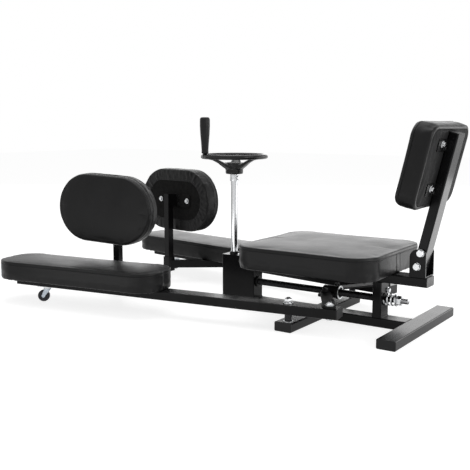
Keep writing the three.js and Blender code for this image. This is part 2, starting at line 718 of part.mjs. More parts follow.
// Arm tube, with the brace and socket for the inner pad welded to its inner side
function addArmTube(arm, side, label) {
  const middle = ARM_BOTTOM + TUBE_HEIGHT / 2;
  const tube = tubeX(-ARM_FRONT, ARM_REAR, TUBE_WIDTH, TUBE_HEIGHT).translate(0, 0, middle);
  const nose = block(-ARM_FRONT, 3 - ARM_FRONT, -29, 29, ARM_BOTTOM + 1, ARM_BOTTOM + 29);
  const pivotHole = diskZ(6 + 2 * GAP, 0, 2 * ARM_BOTTOM, 24);

  const reach = PAD_POST_T - TUBE_WIDTH / 2 + 2;
  const braceLength = reach * Math.SQRT2;
  const brace = tubeX(0, braceLength, TUBE_HEIGHT, TUBE_HEIGHT).rotateZ((side * Math.PI) / 4);
  brace.translate(-PAD_POST_S, -side * PAD_POST_T, middle);
  const socket = block(-SOCKET_SIZE / 2, SOCKET_SIZE / 2, -SOCKET_SIZE / 2, SOCKET_SIZE / 2, SOCKET_BOTTOM, SOCKET_TOP);
  const place = (geometry) => geometry.translate(-PAD_POST_S, -side * PAD_POST_T, 0);
  const bore = PAD_POST_SIZE / 2 + GAP;
  const socketBore = block(-bore, bore, -bore, bore, SOCKET_BOTTOM + 3, SOCKET_TOP + 1);
  const bracket = cut(join(brace, place(socket)), place(socketBore));
  const outer = TUBE_WIDTH / 2 - 0.5;
  const armCore = block(-ARM_FRONT, ARM_REAR, -outer, outer, ARM_BOTTOM - 1, ARM_BOTTOM + TUBE_HEIGHT + 1);
  const whole = cut(join(tube, nose, cut(bracket, armCore)), pivotHole);
  addPiece(arm, `leg_arm_${label}`, whole, steelPaint);

  const cap = capZ(TUBE_HEIGHT, TUBE_WIDTH).rotateY(Math.PI / 2).translate(ARM_REAR + GAP, 0, middle);
  addPiece(arm, `leg_arm_cap_${label}`, cap, plastic);
}

function addLegCushion(arm, label) {
  const length = LEG_CUSHION_FRONT - LEG_CUSHION_REAR;
  const base = ARM_BOTTOM + TUBE_HEIGHT + GAP;
  const form = { corner: 85, drawIn: 3, bulge: 3, edge: 9, crown: 4 };
  const height = LEG_CUSHION_TOP - base;
  const { board, cushion } = upholstered(length, LEG_CUSHION_WIDTH, height, LEG_BOARD, 10, form);
  const middle = -(LEG_CUSHION_FRONT + LEG_CUSHION_REAR) / 2;
  addPiece(arm, `leg_board_${label}`, board.translate(middle, 0, base), plywood);
  addPiece(arm, `leg_cushion_${label}`, cushion.translate(middle, 0, base), upholstery);
}

// Padded obround on a square post that slides in the arm's socket
function addInnerPad(arm, side, label) {
  const half = PAD_POST_SIZE / 2;
  const postBottom = SOCKET_BOTTOM + 3 + GAP;
  const post = block(-half, half, -half, half, postBottom, PAD_POST_TOP);
  const cheekInner = half - 0.5;
  const cheekOuter = half + 3;
  const standOff = PAD_POST_T - PAD_BACK_T - GAP;
  const low = PAD_CENTRE_Z - 25;
  const high = PAD_CENTRE_Z + 25;
  const cheeks = [-1, 1].map((end) => {
    const x = [end * cheekInner, end * cheekOuter].sort((a, b) => a - b);
    return block(x[0], x[1], -6, standOff, low, high);
  });
  const plate = block(-68, 68, standOff - 3, standOff, low, high);
  const bracket = join(...cheeks, plate);
  const turn = side > 0 ? 0 : Math.PI;
  const carrier = join(post, bracket.rotateZ(turn));
  carrier.translate(-PAD_POST_S, -side * PAD_POST_T, 0);
  addPiece(arm, `pad_post_${label}`, carrier, steelPaint);

  const form = { corner: PAD_HEIGHT / 2 - 1, drawIn: 0, bulge: 2, edge: 10, crown: 4 };
  const thickness = PAD_THICKNESS - form.crown;
  const { board, cushion } = upholstered(PAD_LENGTH, PAD_HEIGHT, thickness, PAD_BOARD, 12, form);
  const stand = (geometry) => {
    geometry.rotateZ(side < 0 ? -LEFT_PAD_ROLL : 0).rotateX(-Math.PI / 2).rotateZ(turn);
    return geometry.translate(-PAD_POST_S, -side * PAD_BACK_T, PAD_CENTRE_Z);
  };
  addPiece(arm, `pad_board_${label}`, stand(board), plywood);
  addPiece(arm, `pad_cushion_${label}`, stand(cushion), upholstery);
}

function addCaster(arm, side, label) {
  const plateTop = ARM_BOTTOM - GAP;
  const bossTop = plateTop - 2.5;
  const bossBottom = 48;
  const plate = extrudeZ(roundedRectangle(56, 48, 5), bossTop, plateTop);
  const boss = diskZ(13, bossBottom, plateTop - 1, 24);
  const stemHole = diskZ(5 + GAP, 0, bossTop - 1, SMALL_ROUND);
  const carrier = cut(join(plate, boss), stemHole);
  addPiece(arm, `caster_plate_${label}`, carrier.translate(-CASTER_S, 0, 0), zinc);

  const crownTop = bossBottom - GAP;
  const disc = diskZ(14, crownTop - 3, crownTop, 24);
  const stem = diskZ(5, crownTop - 1, bossTop - 2, SMALL_ROUND);
  const inside = CASTER_WHEEL_WIDTH / 2 + 1;
  const legs = [-1, 1].map((end) => casterLeg(crownTop).translate(0, end * (inside + 1.25), 0));
  const axle = diskY(3, -inside - 1, inside + 1, 16).translate(CASTER_TRAIL, 0, CASTER_WHEEL_RADIUS);
  const fork = join(disc, stem, ...legs, axle);
  const turn = side < 0 ? CASTER_TRAIL_ANGLE : -CASTER_TRAIL_ANGLE;
  addPiece(arm, `caster_fork_${label}`, fork.rotateZ(turn).translate(-CASTER_S, 0, 0), zinc);

  const halfWidth = CASTER_WHEEL_WIDTH / 2;
  const wheel = turned([
    [3 + GAP, -halfWidth],
    [CASTER_WHEEL_RADIUS - 3, -halfWidth],
    [CASTER_WHEEL_RADIUS, 3 - halfWidth],
    [CASTER_WHEEL_RADIUS, halfWidth - 3],
    [CASTER_WHEEL_RADIUS - 3, halfWidth],
    [3 + GAP, halfWidth],
    [3 + GAP, -halfWidth],
  ]).rotateX(Math.PI / 2);
  wheel.translate(CASTER_TRAIL, 0, CASTER_WHEEL_RADIUS).rotateZ(turn).translate(-CASTER_S, 0, 0);
  addPiece(arm, `caster_wheel_${label}`, wheel, wheelTread);
}

// Fork leg in the XZ plane, from the crown down to the axle
function casterLeg(top) {
  const leg = new THREE.Shape();
  leg.moveTo(-9, top - 2.9);
  leg.lineTo(-9, top - 6);
  leg.lineTo(CASTER_TRAIL - 5.5, CASTER_WHEEL_RADIUS - 2);
  leg.absarc(CASTER_TRAIL, CASTER_WHEEL_RADIUS, 6, Math.PI * 1.1, Math.PI * 2.05);
  leg.lineTo(9, top - 2.9);
  leg.lineTo(9, top - 1);
  leg.lineTo(-9, top - 1);
  return extrudeZ(leg, -1.25, 1.25, 6).rotateX(Math.PI / 2);
}

// Seat

function addSeat() {
  const form = { corner: 78, drawIn: 3, bulge: 4, edge: 10, crown: 5 };
  const base = RAIL_BOTTOM + TUBE_HEIGHT + GAP;
  const height = SEAT_TOP - base;
  const { board, cushion } = upholstered(SEAT_LENGTH, SEAT_WIDTH, height, SEAT_BOARD, 12, form);
  const middle = SEAT_FRONT_X + SEAT_LENGTH / 2;
  addPiece(machine, 'seat_board', board.translate(middle, 0, base), plywood);
  addPiece(machine, 'seat_cushion', cushion.translate(middle, 0, base), upholstery);
}

// Backrest

function addBackrest() {
  addBackBracket();
  const back = new THREE.Group();
  back.position.set(BACK_FOOT_X, 0, BACK_FOOT_Z);
  back.rotation.y = BACK_TILT;
  machine.add(back);

  const halfDepth = TUBE_HEIGHT / 2;
  const tube = tubeZ(TUBE_HEIGHT, TUBE_WIDTH, UPRIGHT_START, UPRIGHT_LENGTH);
  const holes = BACK_BOLTS.map((z) => boltHole().translate(0, 0, z));
  const clamps = [60, BACK_PAD_HEIGHT - 60].map((z) => backClamp().translate(0, 0, BACK_PAD_START + z));
  addPiece(back, 'back_upright', cut(join(tube, ...clamps), ...holes), steelPaint);
  const cap = capZ(TUBE_HEIGHT, TUBE_WIDTH).translate(0, 0, UPRIGHT_LENGTH + GAP);
  addPiece(back, 'back_upright_cap', cap, plastic);

  const form = { corner: 45, drawIn: 0.5, bulge: 2, edge: 12, crown: 5 };
  const thickness = BACK_PAD_THICKNESS - form.crown;
  const { board, cushion } = upholstered(BACK_PAD_HEIGHT, BACK_PAD_WIDTH, thickness, BACK_BOARD, 13, form);
  const clearance = halfDepth + GAP;
  const stand = (geometry) => geometry.rotateY(-Math.PI / 2)
    .translate(-clearance, 0, BACK_PAD_START + BACK_PAD_HEIGHT / 2);
  addPiece(back, 'back_board', stand(board), plywood);
  addPiece(back, 'back_cushion', stand(cushion), upholstery);

  BACK_BOLTS.forEach((z, i) => {
    const outer = TUBE_WIDTH / 2 + 1 + 4 + GAP;
    const bolt = boltZ(20, 8, 6, 2 * outer, 11.5, 2).translate(0, 0, outer);
    const nut = diskZ(19 / Math.sqrt(3), -outer - 12, -outer, 6);
    const fastener = join(bolt, nut).rotateX(Math.PI / 2).translate(0, 0, z);
    addPiece(back, `back_bolt_${i === 0 ? 'lower' : 'upper'}`, fastener, zinc);
  });
}

function boltHole() {
  return diskY(6 + GAP, -TUBE_WIDTH, TUBE_WIDTH, SMALL_ROUND);
}

// Two wings behind the backrest's board and the cheeks that hold them to the upright
function backClamp() {
  const half = TUBE_HEIGHT / 2;
  const cheeks = [-1, 1].map((side) => {
    const y = [side * (TUBE_WIDTH / 2 - 0.5), side * (TUBE_WIDTH / 2 + 3)].sort((a, b) => a - b);
    return block(-half, 4, y[0], y[1], -18, 18);
  });
  const wings = [-1, 1].map((side) => {
    const y = [side * (TUBE_WIDTH / 2 - 0.5), side * 96].sort((a, b) => a - b);
    return block(-half, 3 - half, y[0], y[1], -18, 18);
  });
  return join(...cheeks, ...wings);
}

// U bracket welded to the end of the seat rail: its two cheeks hold the foot of the upright
function addBackBracket() {
  const base = RAIL_BOTTOM + TUBE_HEIGHT + GAP;
  const frontX = -49;
  const rearX = 2.5;
  const inner = TUBE_WIDTH / 2 + 1;
  const cheek = new THREE.Shape();
  cheek.moveTo(frontX, base);
  cheek.lineTo(rearX, base);
  cheek.lineTo(rearX, 248);
  cheek.absarc(rearX - 14, 248, 14, 0, Math.PI / 2);
  cheek.absarc(frontX + 26, 236, 26, Math.PI / 2, Math.PI);
  const pieces = [block(frontX, rearX, -inner - 1, inner + 1, base, base + 4)];
  for (const side of [-1, 1]) {
    const plate = extrudeZ(cheek, -2, 2, 6).rotateX(Math.PI / 2);
    pieces.push(plate.translate(0, side * (inner + 2), 0));
  }
  const holes = BACK_BOLTS.map((z) => {
    const x = BACK_FOOT_X + z * Math.sin(BACK_TILT);
    const height = BACK_FOOT_Z + z * Math.cos(BACK_TILT);
    return boltHole().translate(x, 0, height);
  });
  addPiece(machine, 'back_bracket', cut(join(...pieces), ...holes), steelPaint);
}

addGroundFrame();
addRearPost();
addSeatRail();
addGearHousing();
addDrive();
addLeadScrew();
addThrustEnd();
addHandwheel();
addTravelNut();
addLink(-1, 'left');
addLink(1, 'right');
addArm(-1, 'left');
addArm(1, 'right');
addSeat();
addBackrest();

// The origin is under the middle of the whole machine
machine.updateMatrixWorld(true);
const bounds = new THREE.Box3().setFromObject(machine, true);
machine.position.x = -(bounds.min.x + bounds.max.x) / 2;

export default machine;
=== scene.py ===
import json
import math
from dataclasses import dataclass

import bpy
import numpy as np
from mathutils import Matrix, Vector, noise


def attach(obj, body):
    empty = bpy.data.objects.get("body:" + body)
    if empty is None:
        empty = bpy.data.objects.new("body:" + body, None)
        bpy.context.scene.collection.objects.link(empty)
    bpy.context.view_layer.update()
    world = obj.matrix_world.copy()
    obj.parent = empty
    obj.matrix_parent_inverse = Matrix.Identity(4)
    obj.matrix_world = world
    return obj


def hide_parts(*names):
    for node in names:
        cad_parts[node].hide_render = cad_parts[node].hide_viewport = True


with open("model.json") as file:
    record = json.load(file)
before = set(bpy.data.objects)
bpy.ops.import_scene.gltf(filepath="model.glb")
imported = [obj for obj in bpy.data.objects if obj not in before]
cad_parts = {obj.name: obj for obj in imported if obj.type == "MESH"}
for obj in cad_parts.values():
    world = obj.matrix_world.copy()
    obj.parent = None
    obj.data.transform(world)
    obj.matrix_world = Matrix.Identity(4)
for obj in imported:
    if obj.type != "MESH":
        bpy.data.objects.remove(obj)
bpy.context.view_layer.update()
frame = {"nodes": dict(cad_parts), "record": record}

# Sizes in millimetres, in the machine's own frame; X is then moved by SHIFT_X
MM = 0.001
SHIFT_X = 684.1017
TUBE_WIDTH = 60
TUBE_HEIGHT = 30
GAP = 0.3
RAIL_BOTTOM = 145
HOUSING_REAR_X = -618
HOUSING_TOP = 177
POST_REAR_X = -141
POST_FRONT_X = -171
FRONT_FOOT_X = -370
REAR_FOOT_X = -30
POST_BOLT_Y = 22
POST_BOLT_Z = 112
HOUSING_BOLT_X = -686
HOUSING_BOLT_Y = -18

# Handwheel and its shaft
SHAFT_X = -719
SHAFT_RADIUS = 12
SHAFT_TOP = 494
COLLAR_LOW = 437
COLLAR_HIGH = 461
COLLAR_RADIUS = 15.2
WHEEL_Z = 524
WHEEL_RADIUS = 111
RIM_RADIUS = 8.5
SPOKES = 3
HUB_RADIUS = 31
HUB_LOW = 462
HUB_TOP = 499
REMESH_SIZE = 1.5
HANDLE_ANGLE = math.radians(238.5)
PIN_RADIUS = 4.9
GRIP_RADIUS = 17.5
GRIP_TOP_Z = 660

# Lead screw, its spring and its nut
SCREW_Z = 88
SCREW_RADIUS = 11.5
SCREW_START_X = -707
GEAR_SEAT_X = -690.7
SCREW_SHOULDER_X = -171.3
TAIL_RADIUS = 8.5
SCREW_END_X = -62
SCREW_LEAD = 10
SCREW_STARTS = 2
TAIL_PITCH = 2.5
SPRING_TURNS = 3
SPRING_RADIUS = 17
SPRING_WIRE = 2.75
SPRING_START_X = -138.5
SPRING_END_X = -102
SPRING_START_ANGLE = math.pi
LOCK_WASHER_RADIUS = 19
LOCK_WASHER_LENGTH = 3
LOCK_NUT_ACROSS = 27
LOCK_NUT_LENGTH = 15
NUT_FRONT_X = -355
NUT_REAR_X = -309
NUT_RADIUS = 20
FLANGE_RADIUS = 22
FLANGE_LENGTH = 12
STUD_X = -330
STUD_Y = 44
STUD_RADIUS = 6
EAR_Y = 38
EAR_LENGTH = 42
EAR_WIDTH = 46
LINK_WASHER_LOW = 94.8
LINK_WASHER_TOP = 97.2
LINK_NUT_LOW = 97.4

# Leg arms
ARM_PIVOT_X = -362
ARM_PIVOT_Y = 224.7
ARM_REST_ANGLE = math.radians(9)
ARM_BOTTOM = 58
ARM_TOP = 88
CRANK_LENGTH = 133
LEG_CUSHION_MIDDLE = 772
PAD_POST_S = 760
PAD_CENTRE_Z = 331
PAD_BACK_T = 164
LEFT_PAD_ROLL = math.radians(3)
PAD_PLATE_LENGTH = 186
PAD_PLATE_HEIGHT = 50
PAD_PLATE_TOP = 3.6
PAD_BOLT_X = 77
PAD_SCREW_X = 30
PAD_SCREW_Y = 14

# Seat and backrest
SEAT_MIDDLE_X = -341.5
SEAT_BASE = 175.3
BACK_TILT = math.radians(13.5)
BACK_FOOT_X = -31
BACK_FOOT_Z = 180
BACK_PAD_START = 210
BACK_PAD_HEIGHT = 254
BACK_BOLTS = (30, 73)
CLAMP_BOLT_Y = 66
CLAMP_SCREW_Y = 46
CLAMP_HEIGHTS = (60, 194)
CLAMP_HALF_LENGTH = 98
PANEL_FLAT = 32
PANEL_RINGS = 30
PANEL_WRINKLE = 4.5
BRACKET_HALF = 35

# Welds
WELD_RADIUS = 2.2
THIN_WELD_RADIUS = 1.8
WELD_OFF = 0.4
RIPPLE_STEP = 1.1

# Upholstery
WRAP_THICKNESS = 1.1
STITCH_PITCH = 4.6
STITCH_LENGTH = 3.2
STITCH_RADIUS = 0.42
STAPLE_PITCH = 24
STAPLE_LENGTH = 10
STAPLE_RADIUS = 0.6
CLOTH_FRAMES = 20
COVER_PRESSURE = 4
SWELL_LIMIT = 1.6
UNEVENNESS = 0.5
FOLD_DEPTH = 2.1
PLEAT_DEPTH = 2.2
GATHER_DEPTH = 0.35
RIM_RISE = 1.2

# Studio, in metres
WORLD_LEVEL = 0.5
FLOOR_COLOUR = 0.45
FLOOR_SHINE = 0.8
FLOOR_HALF = 12.0
CAMERA_PLACE = (1.4924, -2.21824, 0.6405)
CAMERA_PITCH = math.radians(82.87)
CAMERA_TURN = math.radians(34.5)
CAMERA_LENS = 58.47
CAMERA_SENSOR = 36
CAMERA_SHIFT = -0.0355

MACHINE = Matrix.Translation((SHIFT_X * MM, 0, 0)) @ Matrix.Scale(MM, 4)
ARM = {
    side: MACHINE
    @ Matrix.Translation((ARM_PIVOT_X, side * ARM_PIVOT_Y, 0))
    @ Matrix.Rotation(-side * ARM_REST_ANGLE, 4, "Z")
    for side in (-1, 1)
}
BACK = (
    MACHINE
    @ Matrix.Translation((BACK_FOOT_X, 0, BACK_FOOT_Z))
    @ Matrix.Rotation(BACK_TILT, 4, "Y")
)
TO_X = Matrix.Rotation(math.pi / 2, 4, "Y")
LABEL = {-1: "left", 1: "right"}


def at(x, y, z):
    return Matrix.Translation((x, y, z))


# Materials

class Shader:
    """A material whose nodes are added one call at a time."""

    def __init__(self, name):
        self.material = bpy.data.materials.new(name)
        self.material.use_nodes = True
        self.tree = self.material.node_tree
        self.tree.nodes.clear()
        self.output = self.add("ShaderNodeOutputMaterial")
        self.surface = self.add("ShaderNodeBsdfPrincipled")
        self.link(self.surface, "BSDF", self.output, "Surface")
        self.place = self.add("ShaderNodeTexCoord")

    def add(self, kind):
        return self.tree.nodes.new(kind)

    def link(self, start, output, end, into):
        self.tree.links.new(start.outputs[output], end.inputs[into])

    def noise(self, scale, detail=3.0, stretch=(1, 1, 1)):
        mapping = self.add("ShaderNodeMapping")
        mapping.inputs["Scale"].default_value = stretch
        self.link(self.place, "Object", mapping, "Vector")
        made = self.add("ShaderNodeTexNoise")
        made.inputs["Scale"].default_value = scale
        made.inputs["Detail"].default_value = detail
        self.link(mapping, "Vector", made, "Vector")
        return made

    def cells(self, scale):
        made = self.add("ShaderNodeTexVoronoi")
        made.inputs["Scale"].default_value = scale
        self.link(self.place, "Object", made, "Vector")
        return made

    def colour(self, source, low, high, start=0.35, end=0.65):
        """Base colour between low and high as the noise goes from start to end."""
        ramp = self.add("ShaderNodeValToRGB")
        ramp.color_ramp.elements[0].position = start
        ramp.color_ramp.elements[1].position = end
        ramp.color_ramp.elements[0].color = (*low, 1)
        ramp.color_ramp.elements[1].color = (*high, 1)
        self.link(source, "Fac", ramp, "Fac")
        self.link(ramp, "Color", self.surface, "Base Color")

    def roughness(self, source, low, high, start=0.3, end=0.7):
        span = self.add("ShaderNodeMapRange")
        span.inputs["From Min"].default_value = start
        span.inputs["From Max"].default_value = end
        span.inputs["To Min"].default_value = low
        span.inputs["To Max"].default_value = high
        self.link(source, "Fac", span, "Value")
        self.link(span, "Result", self.surface, "Roughness")

    def bump(self, source, output, strength, distance, under=None):
        bump = self.add("ShaderNodeBump")
        bump.inputs["Strength"].default_value = strength
        bump.inputs["Distance"].default_value = distance
        self.link(source, output, bump, "Height")
        if under is not None:
            self.link(under, "Normal", bump, "Normal")
        return bump

    def finish(self, bump, **values):
        for key, value in values.items():
            self.surface.inputs[key.replace("_", " ")].default_value = value
        self.link(bump, "Normal", self.surface, "Normal")
        return self.material


def paint():
    made = Shader("black_paint")
    drift = made.noise(14, detail=4)
    peel = made.noise(520, detail=2)
    made.colour(drift, (0.005, 0.005, 0.0053), (0.009, 0.009, 0.0095))
    made.roughness(drift, 0.22, 0.26)
    return made.finish(made.bump(peel, "Fac", 0.12, 0.0004), Specular_IOR_Level=0.12)


def vinyl():
    made = Shader("black_vinyl")
    drift = made.noise(9, detail=5)
    pebble = made.cells(760)
    pores = made.noise(1500, detail=2)
    made.colour(drift, (0.0105, 0.0105, 0.0108), (0.015, 0.015, 0.0154))
    made.roughness(drift, 0.34, 0.42)
    grain = made.bump(pebble, "Distance", 0.14, 0.0005)
    fine = made.bump(pores, "Fac", 0.08, 0.0002, under=grain)
    return made.finish(fine, Specular_IOR_Level=0.15)


def backing_cloth():
    made = Shader("backing_cloth")
    fibres = made.noise(1400, detail=4, stretch=(1, 0.35, 1))
    lint = made.noise(60, detail=5)
    made.colour(lint, (0.01, 0.0098, 0.0096), (0.016, 0.0157, 0.0154))
    made.roughness(fibres, 0.8, 0.95)
    return made.finish(made.bump(fibres, "Fac", 0.5, 0.0006), Specular_IOR_Level=0.12)


def dull_paint():
    made = Shader("dull_paint")
    drift = made.noise(40, detail=4)
    grit = made.noise(900, detail=3)
    made.colour(drift, (0.008, 0.008, 0.0084), (0.014, 0.014, 0.0145))
    made.roughness(drift, 0.5, 0.65)
    return made.finish(made.bump(grit, "Fac", 0.2, 0.0003), Specular_IOR_Level=0.12)


def back_cloth():
    made = Shader("back_cloth")
    drift = made.noise(11, detail=5)
    weave = made.cells(900)
    made.colour(drift, (0.006, 0.006, 0.0062), (0.013, 0.013, 0.0133))
    made.roughness(drift, 0.6, 0.8)
    return made.finish(made.bump(weave, "Distance", 0.25, 0.0005), Specular_IOR_Level=0.1)


def plastic():
    made = Shader("black_plastic")
    drift = made.noise(30, detail=3)
    spark = made.noise(1800, detail=2)
    made.colour(drift, (0.0085, 0.0085, 0.009), (0.014, 0.014, 0.0145))
    made.roughness(drift, 0.38, 0.48)
    return made.finish(made.bump(spark, "Fac", 0.2, 0.0003), Specular_IOR_Level=0.2)


def gloss_plastic():
    made = Shader("wheel_plastic")
    drift = made.noise(30, detail=3)
    flow = made.noise(90, detail=1)
    made.colour(drift, (0.006, 0.006, 0.0063), (0.01, 0.01, 0.0105))
    made.roughness(drift, 0.14, 0.24)
    return made.finish(made.bump(flow, "Fac", 0.08, 0.0006), Specular_IOR_Level=0.25)


def chrome():
    made = Shader("chrome")
    lines = made.noise(260, detail=3, stretch=(1, 1, 9))
    made.colour(lines, (0.5, 0.51, 0.52), (0.64, 0.65, 0.66))
    made.roughness(lines, 0.1, 0.22)
    return made.finish(made.bump(lines, "Fac", 0.05, 0.0002), Metallic=1.0)


def plating(name, low, high):
    made = Shader(name)
    mottle = made.noise(240, detail=4)
    made.colour(mottle, low, high)
    made.roughness(mottle, 0.22, 0.38)
    return made.finish(made.bump(mottle, "Fac", 0.1, 0.0003), Metallic=1.0)


def dark_steel():
    made = Shader("dark_steel")
    mottle = made.noise(170, detail=5)
    made.colour(mottle, (0.012, 0.012, 0.0125), (0.034, 0.034, 0.036))
    made.roughness(mottle, 0.24, 0.42)
    return made.finish(made.bump(mottle, "Fac", 0.15, 0.0003), Metallic=0.85, Specular_IOR_Level=0.2)


def rubber():
    made = Shader("caster_rubber")
    mottle = made.noise(300, detail=4)
    made.colour(mottle, (0.009, 0.01, 0.013), (0.016, 0.018, 0.022))
    made.roughness(mottle, 0.4, 0.55)
    return made.finish(made.bump(mottle, "Fac", 0.15, 0.0003), Specular_IOR_Level=0.3)


FINISH = {
    "black_paint": paint(),
    "black_plastic": plastic(),
    "upholstery": vinyl(),
    "plywood": backing_cloth(),
    "chrome": chrome(),
    "zinc": plating("zinc", (0.48, 0.49, 0.5), (0.68, 0.69, 0.7)),
    "dark_steel": dark_steel(),
    "caster_tread": rubber(),
}
WHEEL_FINISH = gloss_plastic()
PANEL_FINISH = back_cloth()
FORK_FINISH = plating("fork_plating", (0.3, 0.34, 0.38), (0.44, 0.48, 0.52))
TAIL_FINISH = plating("worn_plating", (0.2, 0.2, 0.205), (0.4, 0.4, 0.41))
LINK_FINISH = dull_paint()


# Mesh helpers: points are in millimetres and place brings them into the row frame

def bare_mesh(name, points, faces, place=None):
    mesh = bpy.data.meshes.new(name)
    matrix = place or Matrix.Scale(MM, 4)
    mesh.from_pydata([matrix @ Vector(p) for p in points], [], faces)
    return mesh


def dress(name, mesh, slot, body, replaces=(), smooth=40, material=None):
    mesh.materials.clear()
    mesh.materials.append(material or FINISH[slot])
    mesh.update()
    mesh.shade_smooth()
    mesh.set_sharp_from_angle(angle=math.radians(smooth))
    piece = bpy.data.objects.new(name, mesh)
    bpy.context.scene.collection.objects.link(piece)
    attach(piece, body)
    if replaces:
        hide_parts(*replaces)
    return piece


class Shape:
    """Points and faces of several closed bodies that make one piece."""

    def __init__(self):
        self.points = []
        self.faces = []

    def add(self, solid, matrix=None):
        points, faces = solid
        start = len(self.points)
        if matrix is not None:
            points = [matrix @ Vector(p) for p in points]
        self.points += [tuple(p) for p in points]
        self.faces += [tuple(i + start for i in face) for face in faces]

    def add_all(self, solids, matrix=None):
        for solid in solids:
            self.add(solid, matrix)

    def piece(self, name, slot, body, place=MACHINE, **settings):
        return dress(name, bare_mesh(name, self.points, self.faces, place), slot, body, **settings)


def loft(rings, closed=False):
    """Faces between rings of equally many points, with flat ends unless the loft is closed."""
    count = len(rings[0])
    points = [p for ring in rings for p in ring]
    faces = []
    last = len(rings) if closed else len(rings) - 1
    for r in range(last):
        low = r * count
        high = ((r + 1) % len(rings)) * count
        for i in range(count):
            j = (i + 1) % count
            faces.append((low + i, low + j, high + j, high + i))
    if not closed:
        faces.append(tuple(reversed(range(count))))
        faces.append(tuple(range(len(points) - count, len(points))))
    return points, faces


def circle(radius, sides, height=0.0):
    step = 2 * math.pi / sides
    return [(radius * math.cos(i * step), radius * math.sin(i * step), height) for i in range(sides)]


def turned(profile, sides=48):
    """Closed body of revolution about Z through (radius, height) points; a ring if no radius is 0."""
    if all(radius > 0 for radius, _ in profile):
        return loft([circle(radius, sides, height) for radius, height in profile], closed=True)
    return loft([circle(radius, sides, height) for radius, height in profile if radius > 0])


def softened(profile, radius=0.6, closed=False, steps=3):
    """A profile with its corners rounded."""
    count = len(profile)
    made = []
    for i, corner in enumerate(profile):
        if not closed and i in (0, count - 1):
            made.append(corner)
            continue
        here = Vector(corner)
        back = Vector(profile[i - 1]) - here
        ahead = Vector(profile[(i + 1) % count]) - here
        reach = min(radius, back.length * 0.45, ahead.length * 0.45)
        start = here + back.normalized() * reach
        end = here + ahead.normalized() * reach
        for k in range(steps + 1):
            t = k / steps
            made.append(tuple(start * (1 - t) ** 2 + here * (2 * t * (1 - t)) + end * t ** 2))
    return made


def ring_body(inner, outer, low, high, soft=0.4, sides=40):
    """Washer, bush or collar about Z with rounded edges."""
    profile = [(inner, low), (outer, low), (outer, high), (inner, high)]
    return turned(softened(profile, soft, closed=True), sides)


def rod(radius, low, high, chamfer=0.8, sides=32):
    profile = [(0, low), (radius - chamfer, low), (radius, low + chamfer)]
    profile += [(radius, high - chamfer), (radius - chamfer, high), (0, high)]
    return turned(profile, sides)


def hexagon(across, low, high, chamfer=1.2, bottom=False):
    """Hexagonal head or nut along Z with the corners of its top, and its bottom if asked, turned off."""
    radius = across / math.sqrt(3)
    sides = 36
    small = across / 2 * 0.97

    def ring(height, limit):
        points = []
        for i in range(sides):
            angle = 2 * math.pi * i / sides
            flat = across / 2 / math.cos((angle % (math.pi / 3)) - math.pi / 6)
            reach = min(flat, limit)
            points.append((reach * math.cos(angle), reach * math.sin(angle), height))
        return points

    start = [ring(low, small), ring(low + chamfer, radius)] if bottom else [ring(low, radius)]
    return loft(start + [ring(high - chamfer, radius), ring(high, small)])


def dome_nut(across, low, high):
    """Hexagonal base under a round cap."""
    rise = high - low
    base = low + rise * 0.45
    ball = across / 2 * 0.88
    profile = [(0, base - 1), (ball, base - 1), (ball, base)]
    for i in range(1, 8):
        angle = math.pi / 2 * i / 8
        profile.append((ball * math.cos(angle), base + (high - base) * math.sin(angle)))
    profile.append((0, high))
    return hexagon(across, low, base), turned(profile)


def tube_along(path, radius, sides=10, closed=False):
    """Round bar along points; radius is one number, or a list with one for each point."""
    path = [Vector(p) for p in path]
    count = len(path)
    radii = radius if isinstance(radius, list) else [radius] * count
    rings = []
    up = None
    for i, here in enumerate(path):
        if closed:
            ahead = path[(i + 1) % count] - path[i - 1]
        else:
            ahead = path[min(i + 1, count - 1)] - path[max(i - 1, 0)]
        ahead.normalize()
        if up is None:
            up = Vector((0, 0, 1)) if abs(ahead.z) < 0.9 else Vector((1, 0, 0))
        across = ahead.cross(up).normalized()
        up = across.cross(ahead).normalized()
        ring = []
        for k in range(sides):
            angle = -2 * math.pi * k / sides
            ring.append(here + radii[i] * (across * math.cos(angle) + up * math.sin(angle)))
        rings.append(ring)
    return loft(rings, closed=closed)


def rounded_outline(width, height, corner, steps=6):
    points = []
    for k, (cx, cy) in enumerate([(1, 1), (-1, 1), (-1, -1), (1, -1)]):
        for i in range(steps + 1):
            angle = math.pi / 2 * (k + i / steps)
            x = cx * (width / 2 - corner) + corner * math.cos(angle)
            y = cy * (height / 2 - corner) + corner * math.sin(angle)
            points.append((x, y))
    return points


def plate_body(width, height, corner, low, high, soft=0.5):
    """Flat plate on the XY plane with rounded corners and broken edges."""
    levels = [(soft, low), (0, low + soft), (0, high - soft), (soft, high)]
    rings = []
    for inset, z in levels:
        outline = rounded_outline(width - 2 * inset, height - 2 * inset, corner - inset)
        rings.append([(x, y, z) for x, y in outline])
    return loft(rings)


# CAD nodes that stay: their material and a small rolled edge

def bevel(node, width):
    piece = frame["nodes"][node]
    edge = piece.modifiers.new("edge", "BEVEL")
    edge.width = width * MM
    edge.segments = 3
    edge.limit_method = "ANGLE"
    edge.angle_limit = math.radians(35)
    edge.use_clamp_overlap = True
    weighted = piece.modifiers.new("shading", "WEIGHTED_NORMAL")
    weighted.keep_sharp = False
    weighted.weight = 50


def dress_nodes():
    slots = {part["node"]: part["material_slot"] for part in frame["record"]["subparts"]}
    for node, piece in frame["nodes"].items():
        material = FINISH[slots[node]]
        if node.startswith("caster_fork"):
            material = FORK_FINISH
        if node in ("link_left", "link_right"):
            material = LINK_FINISH
        if not piece.data.materials:
            piece.data.materials.append(material)
        for place in piece.material_slots:
            place.link = "OBJECT"
            place.material = material
        bevel(node, 1.3 if "cap" in node else 0.8)


dress_nodes()


# Cushions: a grid of rows along the section and columns round the outline

